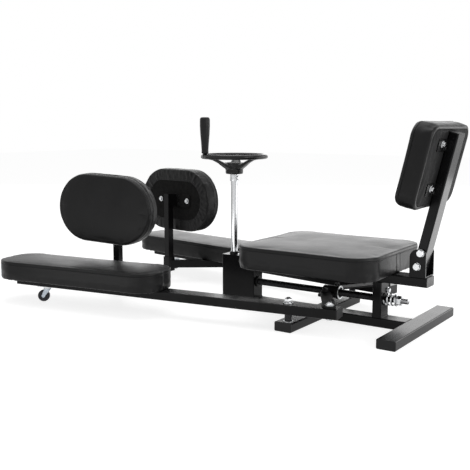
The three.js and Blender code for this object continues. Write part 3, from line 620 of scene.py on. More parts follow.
@dataclass
class Cushion:
    """Sizes of one cushion: its board's back is on z = 0, its padded face is up, its length is along X."""

    length: float
    width: float
    height: float
    corner: float
    draw_in: float
    bulge: float
    edge: float
    crown: float
    margin: float
    board: float
    wrap: float = 0
    step: float = 5.0
    seams: tuple = ()
    end_seams: tuple = ()
    flush: float = 0
    roll: float = 4.5

    @property
    def underside(self):
        return -WRAP_THICKNESS if self.wrap else -0.4


class Plan:
    """Outline of a cushion, sampled from the middle of its +X end and the same on all four quarters."""

    def __init__(self, form):
        half_x = form.length / 2
        half_y = form.width / 2
        run_x = half_x - form.corner
        run_y = half_y - form.corner
        steps_y = max(2, round(run_y / form.step))
        steps_x = max(2, round(run_x / form.step))
        steps_turn = max(8, round(form.corner * math.pi / 2 / form.step))
        along_end = np.linspace(0, run_y, steps_y + 1)
        if form.end_seams:
            zone = [y + d for y in form.end_seams for d in (-2.4, -1.2, 0, 1.2, 2.4)]
            along_end = np.unique(np.concatenate([along_end, np.abs(zone)]))
        quarter = [(half_x, y, 1, 0, 0) for y in along_end[:-1]]
        for i in range(steps_turn + 1):
            angle = math.pi / 2 * i / steps_turn
            x = run_x + form.corner * math.cos(angle)
            y = run_y + form.corner * math.sin(angle)
            quarter.append((x, y, math.cos(angle), math.sin(angle), math.sin(2 * angle)))
        for x in np.linspace(run_x, 0, steps_x + 1)[1:]:
            quarter.append((x, half_y, 0, 1, 0))
        quarter = np.array(quarter)
        back = quarter[-2::-1] * (-1, 1, -1, 1, 1)
        half = np.concatenate([quarter, back])
        lower = half[-2:0:-1] * (1, -1, 1, -1, 1)
        whole = np.concatenate([half, lower])
        self.base = whole[:, 0:2].copy()
        self.normal = whole[:, 2:4]
        self.bend = whole[:, 4]
        self.quarter = len(quarter) - 1
        self.core = np.zeros_like(self.base)
        reach = half_x - half_y
        self.core[:, 0] = np.clip(self.base[:, 0], -reach, reach)
        pull_y = form.draw_in * np.clip(1 - (self.base[:, 0] / run_x) ** 2, 0, 1)
        pull_x = form.draw_in * np.clip(1 - (self.base[:, 1] / max(run_y, 1)) ** 2, 0, 1)
        straight_y = np.abs(self.normal[:, 1]) > 0.999
        straight_x = np.abs(self.normal[:, 0]) > 0.999
        self.base[:, 1] -= np.sign(self.base[:, 1]) * pull_y * straight_y
        self.base[:, 0] -= np.sign(self.base[:, 0]) * pull_x * straight_x
        steps = np.linalg.norm(np.roll(self.base, -1, axis=0) - self.base, axis=1)
        self.arc = np.concatenate([[0], np.cumsum(steps)[:-1]])

    def thinned(self):
        """Every third column, the same on all quarters."""
        first = sorted(set(range(0, self.quarter, 3)) | {self.quarter})
        count = len(self.base)
        kept = {i % count for k in first for i in (k, 2 * self.quarter - k, 2 * self.quarter + k, count - k)}
        return sorted(kept)


def section(form):
    """Rows of (inset, height, share of the way over the top), from the board's room round to the top."""
    room = form.margin - GAP
    ceiling = form.board + GAP
    rows = [(room, z, 0) for z in (ceiling, ceiling - 2, ceiling / 2, 2.0, 0.2)]
    low = form.underside
    turn = form.bulge + form.roll
    if form.wrap:
        inner = form.margin + form.wrap
        rows += [(x, -0.15, 0) for x in np.linspace(room + 1, inner, 5)]
        rows += [(inner + 0.3, low / 2, 0)]
        rows += [(x, low, 0) for x in np.linspace(inner, turn, 11)[:-1]]
    else:
        rows += [(room - 0.8, low, 0)]
    for i in range(6):
        angle = math.pi / 2 * i / 5
        inset = form.bulge + form.roll * (1 - math.sin(angle))
        rows.append((inset, low + form.roll * (1 - math.cos(angle)), 0))
    foot = low + form.roll
    shoulder = form.height - form.edge
    heights = list(np.linspace(foot, shoulder, max(6, round((shoulder - foot) / 4.5)) + 1)[1:-1])
    for seam in form.seams:
        heights = [z for z in heights if abs(z - seam) > 3.4]
        heights += [seam + d for d in (-2.6, -1.6, -0.8, 0, 0.8, 1.6, 2.6) if seam + d < shoulder - 0.3]
    for z in sorted(heights):
        rise = min(1, (z - foot) / (form.height / 2 - foot))
        rows.append((form.bulge * (1 - math.sin(rise * math.pi / 2)), z, 0))
    for i in range(9):
        angle = math.pi / 2 * i / 8
        rows.append((form.edge * (1 - math.cos(angle)), shoulder + form.edge * math.sin(angle), 0))
    span = form.width / 2 - form.edge
    reach = [1.5, 3.5, 6, 9] + list(np.arange(13, span * 0.97, form.step + 0.5)) + [span * 0.985]
    rows += [(form.edge, form.height + form.crown * (1 - (1 - d / span) ** 2), d / span) for d in reach]
    return np.array(rows)


def surface(form, plan, rows):
    inset = rows[:, 0][:, None, None]
    share = rows[:, 2][:, None, None]
    flat = (plan.base - plan.normal * inset) * (1 - share) + plan.core * share
    height = np.broadcast_to(rows[:, 1][:, None, None], (len(rows), len(plan.base), 1))
    points = np.concatenate([flat, height], axis=2)
    if form.flush:
        under = (rows[:, 1] < -0.1)[:, None] & (np.abs(points[:, :, 1]) < form.flush)
        points[:, :, 2] = np.where(under, np.maximum(points[:, :, 2], -0.2), points[:, :, 2])
    return points


def grid_faces(rows, columns):
    """Quads between rows, a flat cap inside the first row and a zipped strip inside the last."""
    faces = []
    for r in range(rows - 1):
        for c in range(columns):
            d = (c + 1) % columns
            faces.append((r * columns + c, r * columns + d, (r + 1) * columns + d, (r + 1) * columns + c))
    faces.append(tuple(reversed(range(columns))))
    last = (rows - 1) * columns
    for c in range(columns // 2):
        ring = [c, c + 1, columns - c - 1, (columns - c) % columns]
        faces.append(tuple(last + i for i in dict.fromkeys(ring)))
    return faces


def read_points(mesh):
    flat = np.empty(len(mesh.vertices) * 3, np.float32)
    mesh.vertices.foreach_get("co", flat)
    return flat.reshape(-1, 3).astype(float)


def evaluated(piece):
    graph = bpy.context.evaluated_depsgraph_get()
    return bpy.data.meshes.new_from_object(piece.evaluated_get(graph))


def swollen(points, first_row, columns, cap):
    """Shift of every point when the cover, held at its foot, is blown up; none is larger than cap."""
    rows = sorted(set(range(first_row, len(points), 3)) | {len(points) - 1})
    coarse = points[np.ix_(rows, columns)]
    mesh = bare_mesh("cover", coarse.reshape(-1, 3).tolist(), grid_faces(len(rows), len(columns)))
    work = bpy.data.objects.new("cover", mesh)
    scene = bpy.context.scene
    scene.collection.objects.link(work)
    rest = read_points(mesh)
    held = work.vertex_groups.new(name="held")
    held.add(list(range(2 * len(columns))), 1.0, "REPLACE")
    cloth = work.modifiers.new("cover", "CLOTH")
    settings = cloth.settings
    settings.quality = 5
    settings.mass = 0.3
    settings.vertex_group_mass = "held"
    settings.pin_stiffness = 1
    settings.tension_stiffness = 15
    settings.compression_stiffness = 15
    settings.shear_stiffness = 5
    settings.bending_stiffness = 0.5
    settings.use_pressure = True
    settings.uniform_pressure_force = COVER_PRESSURE
    settings.effector_weights.gravity = 0
    cloth.point_cache.frame_start = 1
    cloth.point_cache.frame_end = CLOTH_FRAMES
    for number in range(1, CLOTH_FRAMES + 1):
        scene.frame_set(number)
    moved = read_points(evaluated(work))
    scene.frame_set(1)
    bpy.data.objects.remove(work)
    shift = (moved - rest) / MM
    length = np.linalg.norm(shift, axis=1, keepdims=True)
    shift *= cap * np.tanh(length / cap) / np.maximum(length, 1e-6)
    return spread(shift.reshape(len(rows), len(columns), 3), rows, columns, points.shape)


def spread(shift, rows, columns, shape):
    """Values on kept rows and columns, carried over to every row and column."""
    full_rows = np.empty((shape[0], len(columns), 3))
    for c in range(len(columns)):
        for axis in range(3):
            full_rows[:, c, axis] = np.interp(range(shape[0]), rows, shift[:, c, axis])
    full_rows[: rows[0]] = 0
    full = np.empty(shape)
    round_columns = list(columns) + [shape[1]]
    for r in range(shape[0]):
        for axis in range(3):
            values = np.append(full_rows[r, :, axis], full_rows[r, 0, axis])
            full[r, :, axis] = np.interp(range(shape[1]), round_columns, values)
    return full


def grid_normals(points):
    across = np.roll(points, -1, axis=1) - np.roll(points, 1, axis=1)
    along = np.gradient(points, axis=0)
    normal = np.cross(across, along)
    return normal / np.maximum(np.linalg.norm(normal, axis=2, keepdims=True), 1e-9)


def waves(x, y, z):
    return noise.noise(Vector((float(x), float(y), float(z))))


def groove(distance, depth=1.0, width=0.9):
    """A sewn line: a sharp furrow between two low swellings."""
    furrow = -depth * np.exp(-((distance / width) ** 2))
    return furrow + 0.3 * depth * np.exp(-(((np.abs(distance) - 2.4 * width) / (1.3 * width)) ** 2))


def cover_detail(form, plan, rows, points):
    """Outward shift of every point: unevenness, folds low on the sides, gathers, seams and pleats."""
    shift = np.zeros(points.shape[:2])
    shoulder = form.height - form.edge
    seed = form.length + 0.37 * form.width
    for r, (inset, z, share) in enumerate(rows):
        for c in range(points.shape[1]):
            x, y, _ = points[r, c]
            s = plan.arc[c]
            bend = plan.bend[c]
            if z < 0.1:
                if z <= form.underside / 2 and form.wrap:
                    pleat = waves(s / 10, inset / 22, seed)
                    fade = min(1, (form.margin + form.wrap - inset) / 6)
                    shift[r, c] = (PLEAT_DEPTH + 2.0 * bend) * max(-0.12, pleat) * max(0, fade)
                continue
            if inset > form.bulge + form.roll and share == 0:
                continue
            value = UNEVENNESS * waves(x / 95, y / 95, z / 95 + seed)
            if share > 0:
                span = share * (form.width / 2 - form.edge)
                value += 0.22 * waves(x / 26, y / 26, seed) * min(1, span / 20)
                value += 0.3 * math.exp(-span / 12) * waves(s / 9, span / 16, seed)
            else:
                low = max(0, 1 - z / (0.62 * form.height))
                fold = waves(s / 30, z / 17, seed) + 0.5 * waves(s / 11, z / 26, seed)
                value += (0.4 + FOLD_DEPTH * low) * (0.45 + 1.5 * bend) * fold * min(1, (z + 1) / 6)
                if z < shoulder:
                    gather = math.exp((z - shoulder) / 9)
                    value += GATHER_DEPTH * (0.3 + bend) * gather * waves(s / 4.5, z / 14, seed)
            shift[r, c] = value
    side = (rows[:, 2] == 0) & (rows[:, 1] > form.underside + form.roll) & (rows[:, 0] < form.margin - 2)
    for seam in form.seams:
        line = groove(rows[:, 1] - seam) * side
        shift += line[:, None]
    rim = RIM_RISE * np.exp(-(((rows[:, 1] - form.height + 1.2) / 1.6) ** 2)) * (rows[:, 2] < 0.04)
    shift += (rim * (rows[:, 0] < form.edge + 0.1))[:, None]
    for seam in form.end_seams:
        end = (plan.normal[:, 0] > 0.999) & (np.abs(plan.base[:, 1] - seam) < 8)
        line = groove(plan.base[:, 1] - seam) * end
        shift += side[:, None] * (rows[:, 1] < shoulder - 2)[:, None] * line[None, :]
    return shift


def beads(path, normals, pitch, length, radius):
    """Short rods with pointed ends along a closed path, lying half in the surface."""
    ring = np.concatenate([path, path[:1]])
    facing = np.concatenate([normals, normals[:1]])
    steps = np.linalg.norm(np.diff(ring, axis=0), axis=1)
    arc = np.concatenate([[0], np.cumsum(steps)])
    count = int(arc[-1] / pitch)
    made = Shape()

    def on(distance, values):
        distance = distance % arc[-1]
        return Vector([float(np.interp(distance, arc, values[:, axis])) for axis in range(3)])

    for k in range(count):
        start = k * arc[-1] / count
        out = on(start + length / 2, facing).normalized()
        tips = [on(start, ring) - out * radius * 0.6, on(start + length, ring) - out * radius * 0.6]
        ahead = (tips[1] - tips[0]).normalized()
        across = ahead.cross(out)
        points = [tips[0]]
        for share in (0.2, 0.8):
            middle = on(start + length * share, ring) + out * radius * 0.3
            for a, b in ((1, 0), (0, -1), (-1, 0), (0, 1)):
                points.append(middle + across * radius * a + out * radius * b)
        points.append(tips[1])
        faces = []
        for i in range(4):
            j = (i + 1) % 4
            faces.append((0, 1 + j, 1 + i))
            faces.append((1 + i, 1 + j, 5 + j, 5 + i))
            faces.append((5 + i, 5 + j, 9))
        made.add((points, faces))
    return made


def cushion(name, form, place, body):
    plan = Plan(form)
    rows = section(form)
    points = surface(form, plan, rows)
    foot = int(np.argmax(rows[:, 0] <= form.bulge + form.roll))
    points = points + swollen(points, foot, plan.thinned(), SWELL_LIMIT)
    normals = grid_normals(points)
    shift = cover_detail(form, plan, rows, points)
    points = points + normals * shift[:, :, None]
    faces = grid_faces(len(rows), len(plan.base))
    mesh = bare_mesh(name, points.reshape(-1, 3).tolist(), faces, place)
    piece = dress(name + "_cover", mesh, "upholstery", body, replaces=(name,), smooth=60)
    for number, seam in enumerate(form.seams):
        row = int(np.argmin(np.abs(rows[:, 1] - (seam - 2.6)) + 100 * (rows[:, 0] > form.bulge + 1)))
        sewn = beads(points[row], normals[row], STITCH_PITCH, STITCH_LENGTH, STITCH_RADIUS)
        sewn.piece(f"{name}_stitches_{number + 1}", "upholstery", body, place=place)
    if form.wrap:
        row = int(np.argmax((rows[:, 1] <= form.underside) & (rows[:, 0] < form.margin + form.wrap - 4)))
        wire = beads(points[row], normals[row], STAPLE_PITCH, STAPLE_LENGTH, STAPLE_RADIUS)
        wire.piece(f"{name}_staples", "dark_steel", body, place=place)


LEG_CUSHION = Cushion(
    length=666, width=200, height=63.7, corner=85, draw_in=3, bulge=3, edge=5.5, crown=4,
    margin=10, board=10, wrap=26, seams=(55,), flush=31,
)
SEAT_CUSHION = Cushion(
    length=489, width=444, height=71.7, corner=78, draw_in=3, bulge=4, edge=6.5, crown=5,
    margin=12, board=12, wrap=30, seams=(62,), end_seams=(-8, 18), flush=31, step=5.5,
)
PAD_CUSHION = Cushion(
    length=391, width=248, height=61, corner=123, draw_in=0, bulge=2, edge=9, crown=4,
    margin=12, board=12, wrap=34, seams=(33, 50.6), step=4.5,
)
BACK_CUSHION = Cushion(
    length=330, width=254, height=63, corner=45, draw_in=0.5, bulge=2, edge=10, crown=5,
    margin=13, board=12, seams=(51.5,), step=4.5, roll=8,
)


def pad_place(side, roll=0.0):
    """Place of an inner leg pad: its back stands against the post's plate."""
    turn = 0 if side > 0 else math.pi
    return (
        ARM[side]
        @ at(-PAD_POST_S, -side * PAD_BACK_T, PAD_CENTRE_Z)
        @ Matrix.Rotation(turn, 4, "Z")
        @ Matrix.Rotation(-math.pi / 2, 4, "X")
        @ Matrix.Rotation(roll, 4, "Z")
    )


def back_place():
    """Place of the backrest: X across the machine, Z away from the upright."""
    clearance = TUBE_HEIGHT / 2 + GAP
    middle = BACK_PAD_START + BACK_PAD_HEIGHT / 2
    tilt = Matrix.Rotation(-math.pi / 2, 4, "Y")
    return BACK @ at(-clearance, 0, middle) @ tilt @ Matrix.Rotation(math.pi / 2, 4, "Z")


def add_back_panel():
    """Wrinkled cover over the back of the backrest's board, flat where the upright and the clamps lie."""
    margin = BACK_CUSHION.margin + 1.2
    half_x = BACK_CUSHION.length / 2 - margin
    half_y = BACK_CUSHION.width / 2 - margin
    corner = BACK_CUSHION.corner - margin
    outline = rounded_outline(2 * half_x, 2 * half_y, corner, steps=8)
    edge = []
    for start, end in zip(outline, outline[1:] + outline[:1]):
        count = max(1, round(math.dist(start, end) / 4))
        for i in range(count):
            x = start[0] + (end[0] - start[0]) * i / count
            y = start[1] + (end[1] - start[1]) * i / count
            shrink = 1 - 0.035 * abs(waves(x / 9, y / 9, 5.2))
            edge.append((x * shrink, y * shrink))
    rings = [[(x, y, 0) for x, y in edge]]
    levels = [i / PANEL_RINGS for i in range(PANEL_RINGS)]
    for share in levels:
        ring = []
        for x, y in edge:
            px = x * (1 - share)
            py = y * (1 - share)
            ring.append((px, py, -panel_rise(px, py, share)))
        rings.append(ring)
    made = Shape()
    made.add(loft([list(reversed(ring)) for ring in rings]))
    made.piece("back_panel", "upholstery", "frame", place=back_place(), smooth=60, material=PANEL_FINISH)


def panel_rise(x, y, share):
    """Height of the panel's wrinkles above the board."""
    under_upright = min(1, max(0, (abs(x) - PANEL_FLAT) / 12))
    along = y + BACK_PAD_HEIGHT / 2
    near_clamp = min(abs(along - height) for height in CLAMP_HEIGHTS)
    under_clamp = 1 if abs(x) > CLAMP_HALF_LENGTH else min(1, max(0, (near_clamp - 19) / 8))
    fold = abs(waves(x / 34, y / 70, 3.1)) + 0.5 * abs(waves(x / 13, y / 31, 8.4))
    return 0.22 + PANEL_WRINKLE * fold * under_upright * under_clamp * min(1, share * 14)


def add_cushions():
    cushion("seat_cushion", SEAT_CUSHION, MACHINE @ at(SEAT_MIDDLE_X, 0, SEAT_BASE), "frame")
    cushion("back_cushion", BACK_CUSHION, back_place(), "frame")
    for side, label in LABEL.items():
        leg_place = ARM[side] @ at(-LEG_CUSHION_MIDDLE, 0, ARM_TOP + GAP)
        cushion(f"leg_cushion_{label}", LEG_CUSHION, leg_place, f"leg_arm_{label}")
        roll = -LEFT_PAD_ROLL if side < 0 else 0
        cushion(f"pad_cushion_{label}", PAD_CUSHION, pad_place(side, roll), f"pad_{label}")


add_cushions()
add_back_panel()


# Handwheel, its shaft and its grip

def spoke_sections():
    """Distance out, height, half width and half thickness along a spoke."""
    return (
        (14, 484, 27, 10),
        (30, 488, 25, 10),
        (44, 496, 21, 8.5),
        (60, 506, 16, 6.5),
        (82, 516, 11, 5.2),
        (WHEEL_RADIUS - 2, WHEEL_Z - 2.5, 8.5, 4.6),
    )


def spoke(angle):
    rings = []
    for out, height, half_width, half_thick in spoke_sections():
        ring = []
        for i in range(16):
            turn = 2 * math.pi * i / 16
            across = half_width * math.cos(turn)
            rise = half_thick * math.sin(turn)
            x = out * math.cos(angle) - across * math.sin(angle)
            y = out * math.sin(angle) + across * math.cos(angle)
            ring.append((x, y, height + rise))
        rings.append(ring)
    return loft(rings)


def handle_place():
    return at(WHEEL_RADIUS * math.cos(HANDLE_ANGLE), WHEEL_RADIUS * math.sin(HANDLE_ANGLE), 0)


def add_handwheel():
    made = Shape()
    rim = circle(WHEEL_RADIUS, 120, WHEEL_Z)
    made.add(tube_along(rim, RIM_RADIUS, sides=24, closed=True))
    bore = SHAFT_RADIUS + GAP
    hub = [(bore, HUB_LOW + 0.8), (bore + 0.7, HUB_LOW), (HUB_RADIUS - 2, HUB_LOW), (HUB_RADIUS, HUB_LOW + 3)]
    hub += [(HUB_RADIUS, HUB_LOW + 16), (HUB_RADIUS + 4.5, HUB_TOP - 1), (HUB_RADIUS + 3, HUB_TOP + 3.5)]
    hub += [(HUB_RADIUS - 6, HUB_TOP + 4), (HUB_RADIUS - 9, HUB_TOP), (bore, HUB_TOP)]
    made.add(turned(softened(hub, 1.2, closed=True), 64))
    for i in range(SPOKES):
        made.add(spoke(HANDLE_ANGLE + 2 * math.pi * i / SPOKES))
    made.add(rod(9, WHEEL_Z - 6, WHEEL_Z + 10.5, chamfer=1.5), handle_place())
    made.add(rod(PIN_RADIUS, WHEEL_Z, GRIP_TOP_Z - 12, chamfer=0.5), handle_place())
    mesh = bare_mesh("handwheel_raw", made.points, made.faces)
    work = bpy.data.objects.new("handwheel_raw", mesh)
    bpy.context.scene.collection.objects.link(work)
    even = work.modifiers.new("even", "REMESH")
    even.mode = "VOXEL"
    even.voxel_size = REMESH_SIZE * MM
    soft = work.modifiers.new("soft", "SMOOTH")
    soft.factor = 0.5
    soft.iterations = 5
    mesh = evaluated(work)
    bpy.data.objects.remove(work)
    mesh.transform(MACHINE @ at(SHAFT_X, 0, 0) @ Matrix.Scale(1 / MM, 4))
    dress(
        "handwheel_body", mesh, "black_plastic", "handwheel",
        replaces=("handwheel",), smooth=60, material=WHEEL_FINISH,
    )


def add_grip():
    low = WHEEL_Z + 11
    top = GRIP_TOP_Z
    profile = [(5.3, top - 10), (5.3, low), (11, low), (12.2, low + 2), (12, low + 14)]
    profile += [(13.6, low + 38), (16.2, low + 68), (GRIP_RADIUS, top - 30), (GRIP_RADIUS, top - 14)]
    profile += [(16.8, top - 5), (14, top - 1), (8, top)]
    made = Shape()
    made.add(turned(softened(profile, 4, steps=4), 48), at(SHAFT_X, 0, 0) @ handle_place())
    made.piece("grip_body", "black_plastic", "handle_grip", replaces=("handle_grip",), smooth=45)


def add_shaft():
    shaft = Shape()
    profile = [(0, 100), (7.5, 100), (8, 100.5), (8, 116.3), (SHAFT_RADIUS, 116.3)]
    profile += [(SHAFT_RADIUS, SHAFT_TOP - 1), (SHAFT_RADIUS - 1, SHAFT_TOP), (0, SHAFT_TOP)]
    shaft.add(turned(profile, 64), at(SHAFT_X, 0, 0))
    shaft.piece("shaft_body", "chrome", "handwheel", replaces=("wheel_shaft",), smooth=30)
    key = Shape()
    key_place = at(SHAFT_X + SHAFT_RADIUS * 0.92, -2, 0) @ Matrix.Rotation(math.pi / 2, 4, "Y")
    key.add(plate_body(14, 4, 1.9, -1, 2.2, soft=0.3), at(0, 0, 219) @ key_place)
    key.piece("shaft_key", "dark_steel", "handwheel")
    collar = Shape()
    collar_place = at(SHAFT_X, 0, 0)
    middle = (COLLAR_LOW + COLLAR_HIGH) / 2
    collar.add(ring_body(SHAFT_RADIUS + 0.1, COLLAR_RADIUS, COLLAR_LOW, COLLAR_HIGH, 0.8, 64), collar_place)
    bolt_place = collar_place @ Matrix.Rotation(-0.2, 4, "Z") @ at(0, 0, middle) @ TO_X
    collar.add(rod(4, 14.5, 19.8, chamfer=0.2), bolt_place)
    collar.add(ring_body(4.2, 7.4, 15, 16.4), bolt_place)
    collar.add(hexagon(13, 16.5, 23), bolt_place)
    collar.piece("collar_body", "zinc", "handwheel", replaces=("shaft_collar",), smooth=30)


# Lead screw, spring and travelling nut

def threaded(radius, start, end, pitch, starts, depth, sides=32):
    """Rod along X with a right-hand thread cut into it."""
    count = int((end - start) / (pitch / starts) * 8)
    rings = []
    for i in range(count + 1):
        x = start + (end - start) * i / count
        ease = min(1, (x - start) / 3, (end - x) / 3)
        ring = []
        for k in range(sides):
            share = k / sides
            phase = (starts * (x / pitch - share)) % 1
            cut = depth * (1 - min(1, 1.6 * abs(2 * phase - 1))) * ease
            turn = 2 * math.pi * share
            reach = radius - cut
            ring.append((x, reach * math.cos(turn), reach * math.sin(turn)))
        rings.append(ring)
    return rings


def ring_x(x, radius, sides=32):
    step = 2 * math.pi / sides
    return [(x, radius * math.cos(i * step), radius * math.sin(i * step)) for i in range(sides)]


def add_lead_screw():
    axis = at(0, 0, SCREW_Z)
    rings = [ring_x(SCREW_START_X, 6.2), ring_x(SCREW_START_X + 0.8, 7), ring_x(GEAR_SEAT_X, 7)]
    rings += threaded(SCREW_RADIUS, GEAR_SEAT_X, SCREW_SHOULDER_X, SCREW_LEAD, SCREW_STARTS, 1.5)
    rings += [ring_x(SCREW_SHOULDER_X + 0.1, TAIL_RADIUS), ring_x(SPRING_END_X, TAIL_RADIUS)]
    screw = Shape()
    screw.add(loft(rings), axis)
    screw.piece("screw_body", "dark_steel", "lead_screw", replaces=("lead_screw",), smooth=50)
    tail = Shape()
    thread = threaded(TAIL_RADIUS, SPRING_END_X, SCREW_END_X - 1.2, TAIL_PITCH, 1, 0.9)
    tail.add(loft(thread + [ring_x(SCREW_END_X, TAIL_RADIUS - 1.2)]), axis)
    tail.piece("screw_tail", "dark_steel", "lead_screw", smooth=50, material=TAIL_FINISH)


def add_spring():
    axis = at(0, 0, SCREW_Z)
    path = []
    steps = SPRING_TURNS * 40
    for i in range(steps + 1):
        share = i / steps
        angle = SPRING_START_ANGLE + 2 * math.pi * SPRING_TURNS * share
        x = SPRING_START_X + (SPRING_END_X - SPRING_START_X) * share
        path.append((x, SPRING_RADIUS * math.cos(angle), SPRING_RADIUS * math.sin(angle)))
    spring = Shape()
    spring.add(tube_along(path, SPRING_WIRE, sides=14), axis)
    spring.piece(
        "spring_body", "dark_steel", "frame",
        replaces=("thrust_spring",), smooth=50, material=FINISH["zinc"],
    )
    low = SPRING_END_X + GAP
    high = low + LOCK_WASHER_LENGTH
    washer = Shape()
    washer.add(ring_body(TAIL_RADIUS + 0.4, LOCK_WASHER_RADIUS, low, high, 0.5, 48), axis @ TO_X)
    washer.piece("washer_body", "zinc", "lead_screw", replaces=("spring_washer",))
    nut = Shape()
    low = high + GAP
    nut.add(hexagon(LOCK_NUT_ACROSS, low, low + LOCK_NUT_LENGTH, 1.6, bottom=True), axis @ TO_X)
    nut.piece("nut_body", "zinc", "lead_screw", replaces=("lock_nut",), smooth=30)


def add_travel_nut():
    axis = at(0, 0, SCREW_Z)
    bore = SCREW_RADIUS + 0.3
    front = NUT_FRONT_X
    profile = [(bore, front), (NUT_RADIUS, front), (NUT_RADIUS, NUT_REAR_X), (FLANGE_RADIUS, NUT_REAR_X)]
    profile += [(FLANGE_RADIUS, NUT_REAR_X + FLANGE_LENGTH), (bore, NUT_REAR_X + FLANGE_LENGTH)]
    nut = Shape()
    nut.add(turned(softened(profile, 1.0, closed=True), 48), axis @ TO_X)
    for side in (-1, 1):
        ear = plate_body(EAR_LENGTH, EAR_WIDTH, 9, -4, 4)
        nut.add(ear, at(STUD_X, side * EAR_Y, SCREW_Z - 4))
        stud = at(STUD_X, side * STUD_Y, 0)
        nut.add(rod(STUD_RADIUS, 76, 108), stud)
        nut.add(ring_body(STUD_RADIUS + 0.2, 13, LINK_WASHER_LOW, LINK_WASHER_TOP), stud)
        nut.add(hexagon(19, LINK_NUT_LOW, 105), stud)
    nut.piece(
        "nut_block_body", "dark_steel", "travel_nut",
        replaces=("travel_nut",), smooth=35, material=LINK_FINISH,
    )
    rim = Shape()
    rear = NUT_REAR_X + FLANGE_LENGTH
    rim.add(ring_body(17.5, FLANGE_RADIUS + 0.2, rear - 0.6, rear + 0.8, 0.4, 48), axis @ TO_X)
    rim.piece("nut_rim", "zinc", "travel_nut")


# Bolts of the links, arms, brackets and pads

def hardware(name, slot, body, replaced, solids, place, smooth=30):
    made = Shape()
    made.add_all(solids)
    made.piece(name, slot, body, place=place, replaces=replaced, smooth=smooth)


def add_link_bolts():
    for side, label in LABEL.items():
        base, dome = dome_nut(17, LINK_NUT_LOW, 107)
        place = ARM[side] @ at(CRANK_LENGTH, 0, 0)
        washer = ring_body(5.7, 14, LINK_WASHER_LOW, LINK_WASHER_TOP)
        solids = [rod(5.5, ARM_TOP + GAP, 99), washer, base, dome]
        hardware(f"link_bolt_body_{label}", "zinc", f"link_{label}", (f"link_bolt_{label}",), solids, place)
        under = [ring_body(3, 13, ARM_BOTTOM - 2.3, ARM_BOTTOM - 0.2)]
        under.append(hexagon(17, 49, ARM_BOTTOM - 2.5, bottom=True))
        hardware(f"arm_end_nut_{label}", "zinc", f"leg_arm_{label}", (), under, place)


def add_pivot_studs():
    for side, label in LABEL.items():
        levels = (TUBE_HEIGHT + GAP, ARM_BOTTOM - 2.6, ARM_TOP + GAP)
        washers = [ring_body(STUD_RADIUS + 0.2, 16, low, low + 2.3) for low in levels]
        solids = washers + [hexagon(22, ARM_TOP + 2.8, 103.5, 1.6, bottom=True)]
        place = MACHINE @ at(ARM_PIVOT_X, side * ARM_PIVOT_Y, 0)
        hardware(f"pivot_nut_{label}", "zinc", "frame", (f"pivot_stud_{label}",), solids, place)
        spacer = ring_body(STUD_RADIUS + 0.2, 11.5, TUBE_HEIGHT + 2.8, ARM_BOTTOM - 2.8)
        inner = [rod(STUD_RADIUS, 4, 107), spacer]
        hardware(f"pivot_rod_{label}", "dark_steel", "frame", (), inner, place)


def add_back_bolts():
    for node, height in zip(("back_bolt_lower", "back_bolt_upper"), BACK_BOLTS):
        face = BRACKET_HALF + GAP
        seat = BRACKET_HALF + 2.4
        solids = [
            rod(STUD_RADIUS, -48, 41),
            ring_body(STUD_RADIUS + 0.2, 11.8, face, seat),
            hexagon(20, seat + 0.1, 45.8, 1.6),
            ring_body(STUD_RADIUS + 0.2, 11.8, -seat, -face),
            hexagon(20, -46, -seat - 0.1, 1.6, bottom=True),
        ]
        place = BACK @ at(0, 0, height) @ Matrix.Rotation(math.pi / 2, 4, "X")
        hardware(f"{node}_body", "zinc", "frame", (node,), solids, place)


def screw_head(across, rise, washer):
    """Round washer on z = 0 with a hexagonal head on top."""
    return [ring_body(across * 0.2, washer / 2, 0, 1.4, 0.4), hexagon(across, 1.5, 1.5 + rise)]


def add_pad_plates():
    for side, label in LABEL.items():
        place = pad_place(side, -LEFT_PAD_ROLL if side < 0 else 0)
        down = Matrix.Rotation(math.pi, 4, "X")
        plate = Shape()
        plate.add(plate_body(PAD_PLATE_LENGTH, PAD_PLATE_HEIGHT, 6, GAP, PAD_PLATE_TOP), down)
        low = -PAD_PLATE_TOP - 0.1
        plate.piece(
            f"pad_plate_{label}", "black_paint", f"pad_{label}",
            place=place, material=FINISH["plywood"],
        )
        bright = Shape()
        dark = Shape()
        for end in (-1, 1):
            bright.add_all(screw_head(13, 5, 21), at(end * PAD_BOLT_X, 0, low) @ down)
            for row in (-1, 1):
                dark.add_all(screw_head(9, 3, 13), at(end * PAD_SCREW_X, row * PAD_SCREW_Y, low) @ down)
        bright.piece(f"pad_bolts_{label}", "zinc", f"pad_{label}", place=place)
        dark.piece(f"pad_screws_{label}", "black_plastic", f"pad_{label}", place=place)


def add_clamp_bolts():
    rear_x = -TUBE_HEIGHT / 2 + 3.2
    bright = Shape()
    dark = Shape()
    for height in CLAMP_HEIGHTS:
        level = BACK_PAD_START + height
        for side in (-1, 1):
            bright.add_all(screw_head(12, 5.5, 21), at(rear_x, side * CLAMP_BOLT_Y, level + 4) @ TO_X)
            dark.add_all(screw_head(10, 4, 15), at(rear_x, side * CLAMP_SCREW_Y, level - 7) @ TO_X)
    bright.piece("clamp_bolts", "zinc", "frame", place=BACK)
    dark.piece("clamp_screws", "black_plastic", "frame", place=BACK)


def weld(made, start, end, radius=WELD_RADIUS):
    """Rippled bead between two points, half sunk in the corner it fills."""
    start = Vector(start)
    end = Vector(end)
    count = max(4, round((end - start).length / RIPPLE_STEP))
    path = [start.lerp(end, i / count) for i in range(count + 1)]
    radii = [radius * (0.9 + 0.1 * math.cos(2 * math.pi * i / 3)) for i in range(count + 1)]
    radii[0] *= 0.45
    radii[-1] *= 0.45
    made.add(tube_along(path, radii))


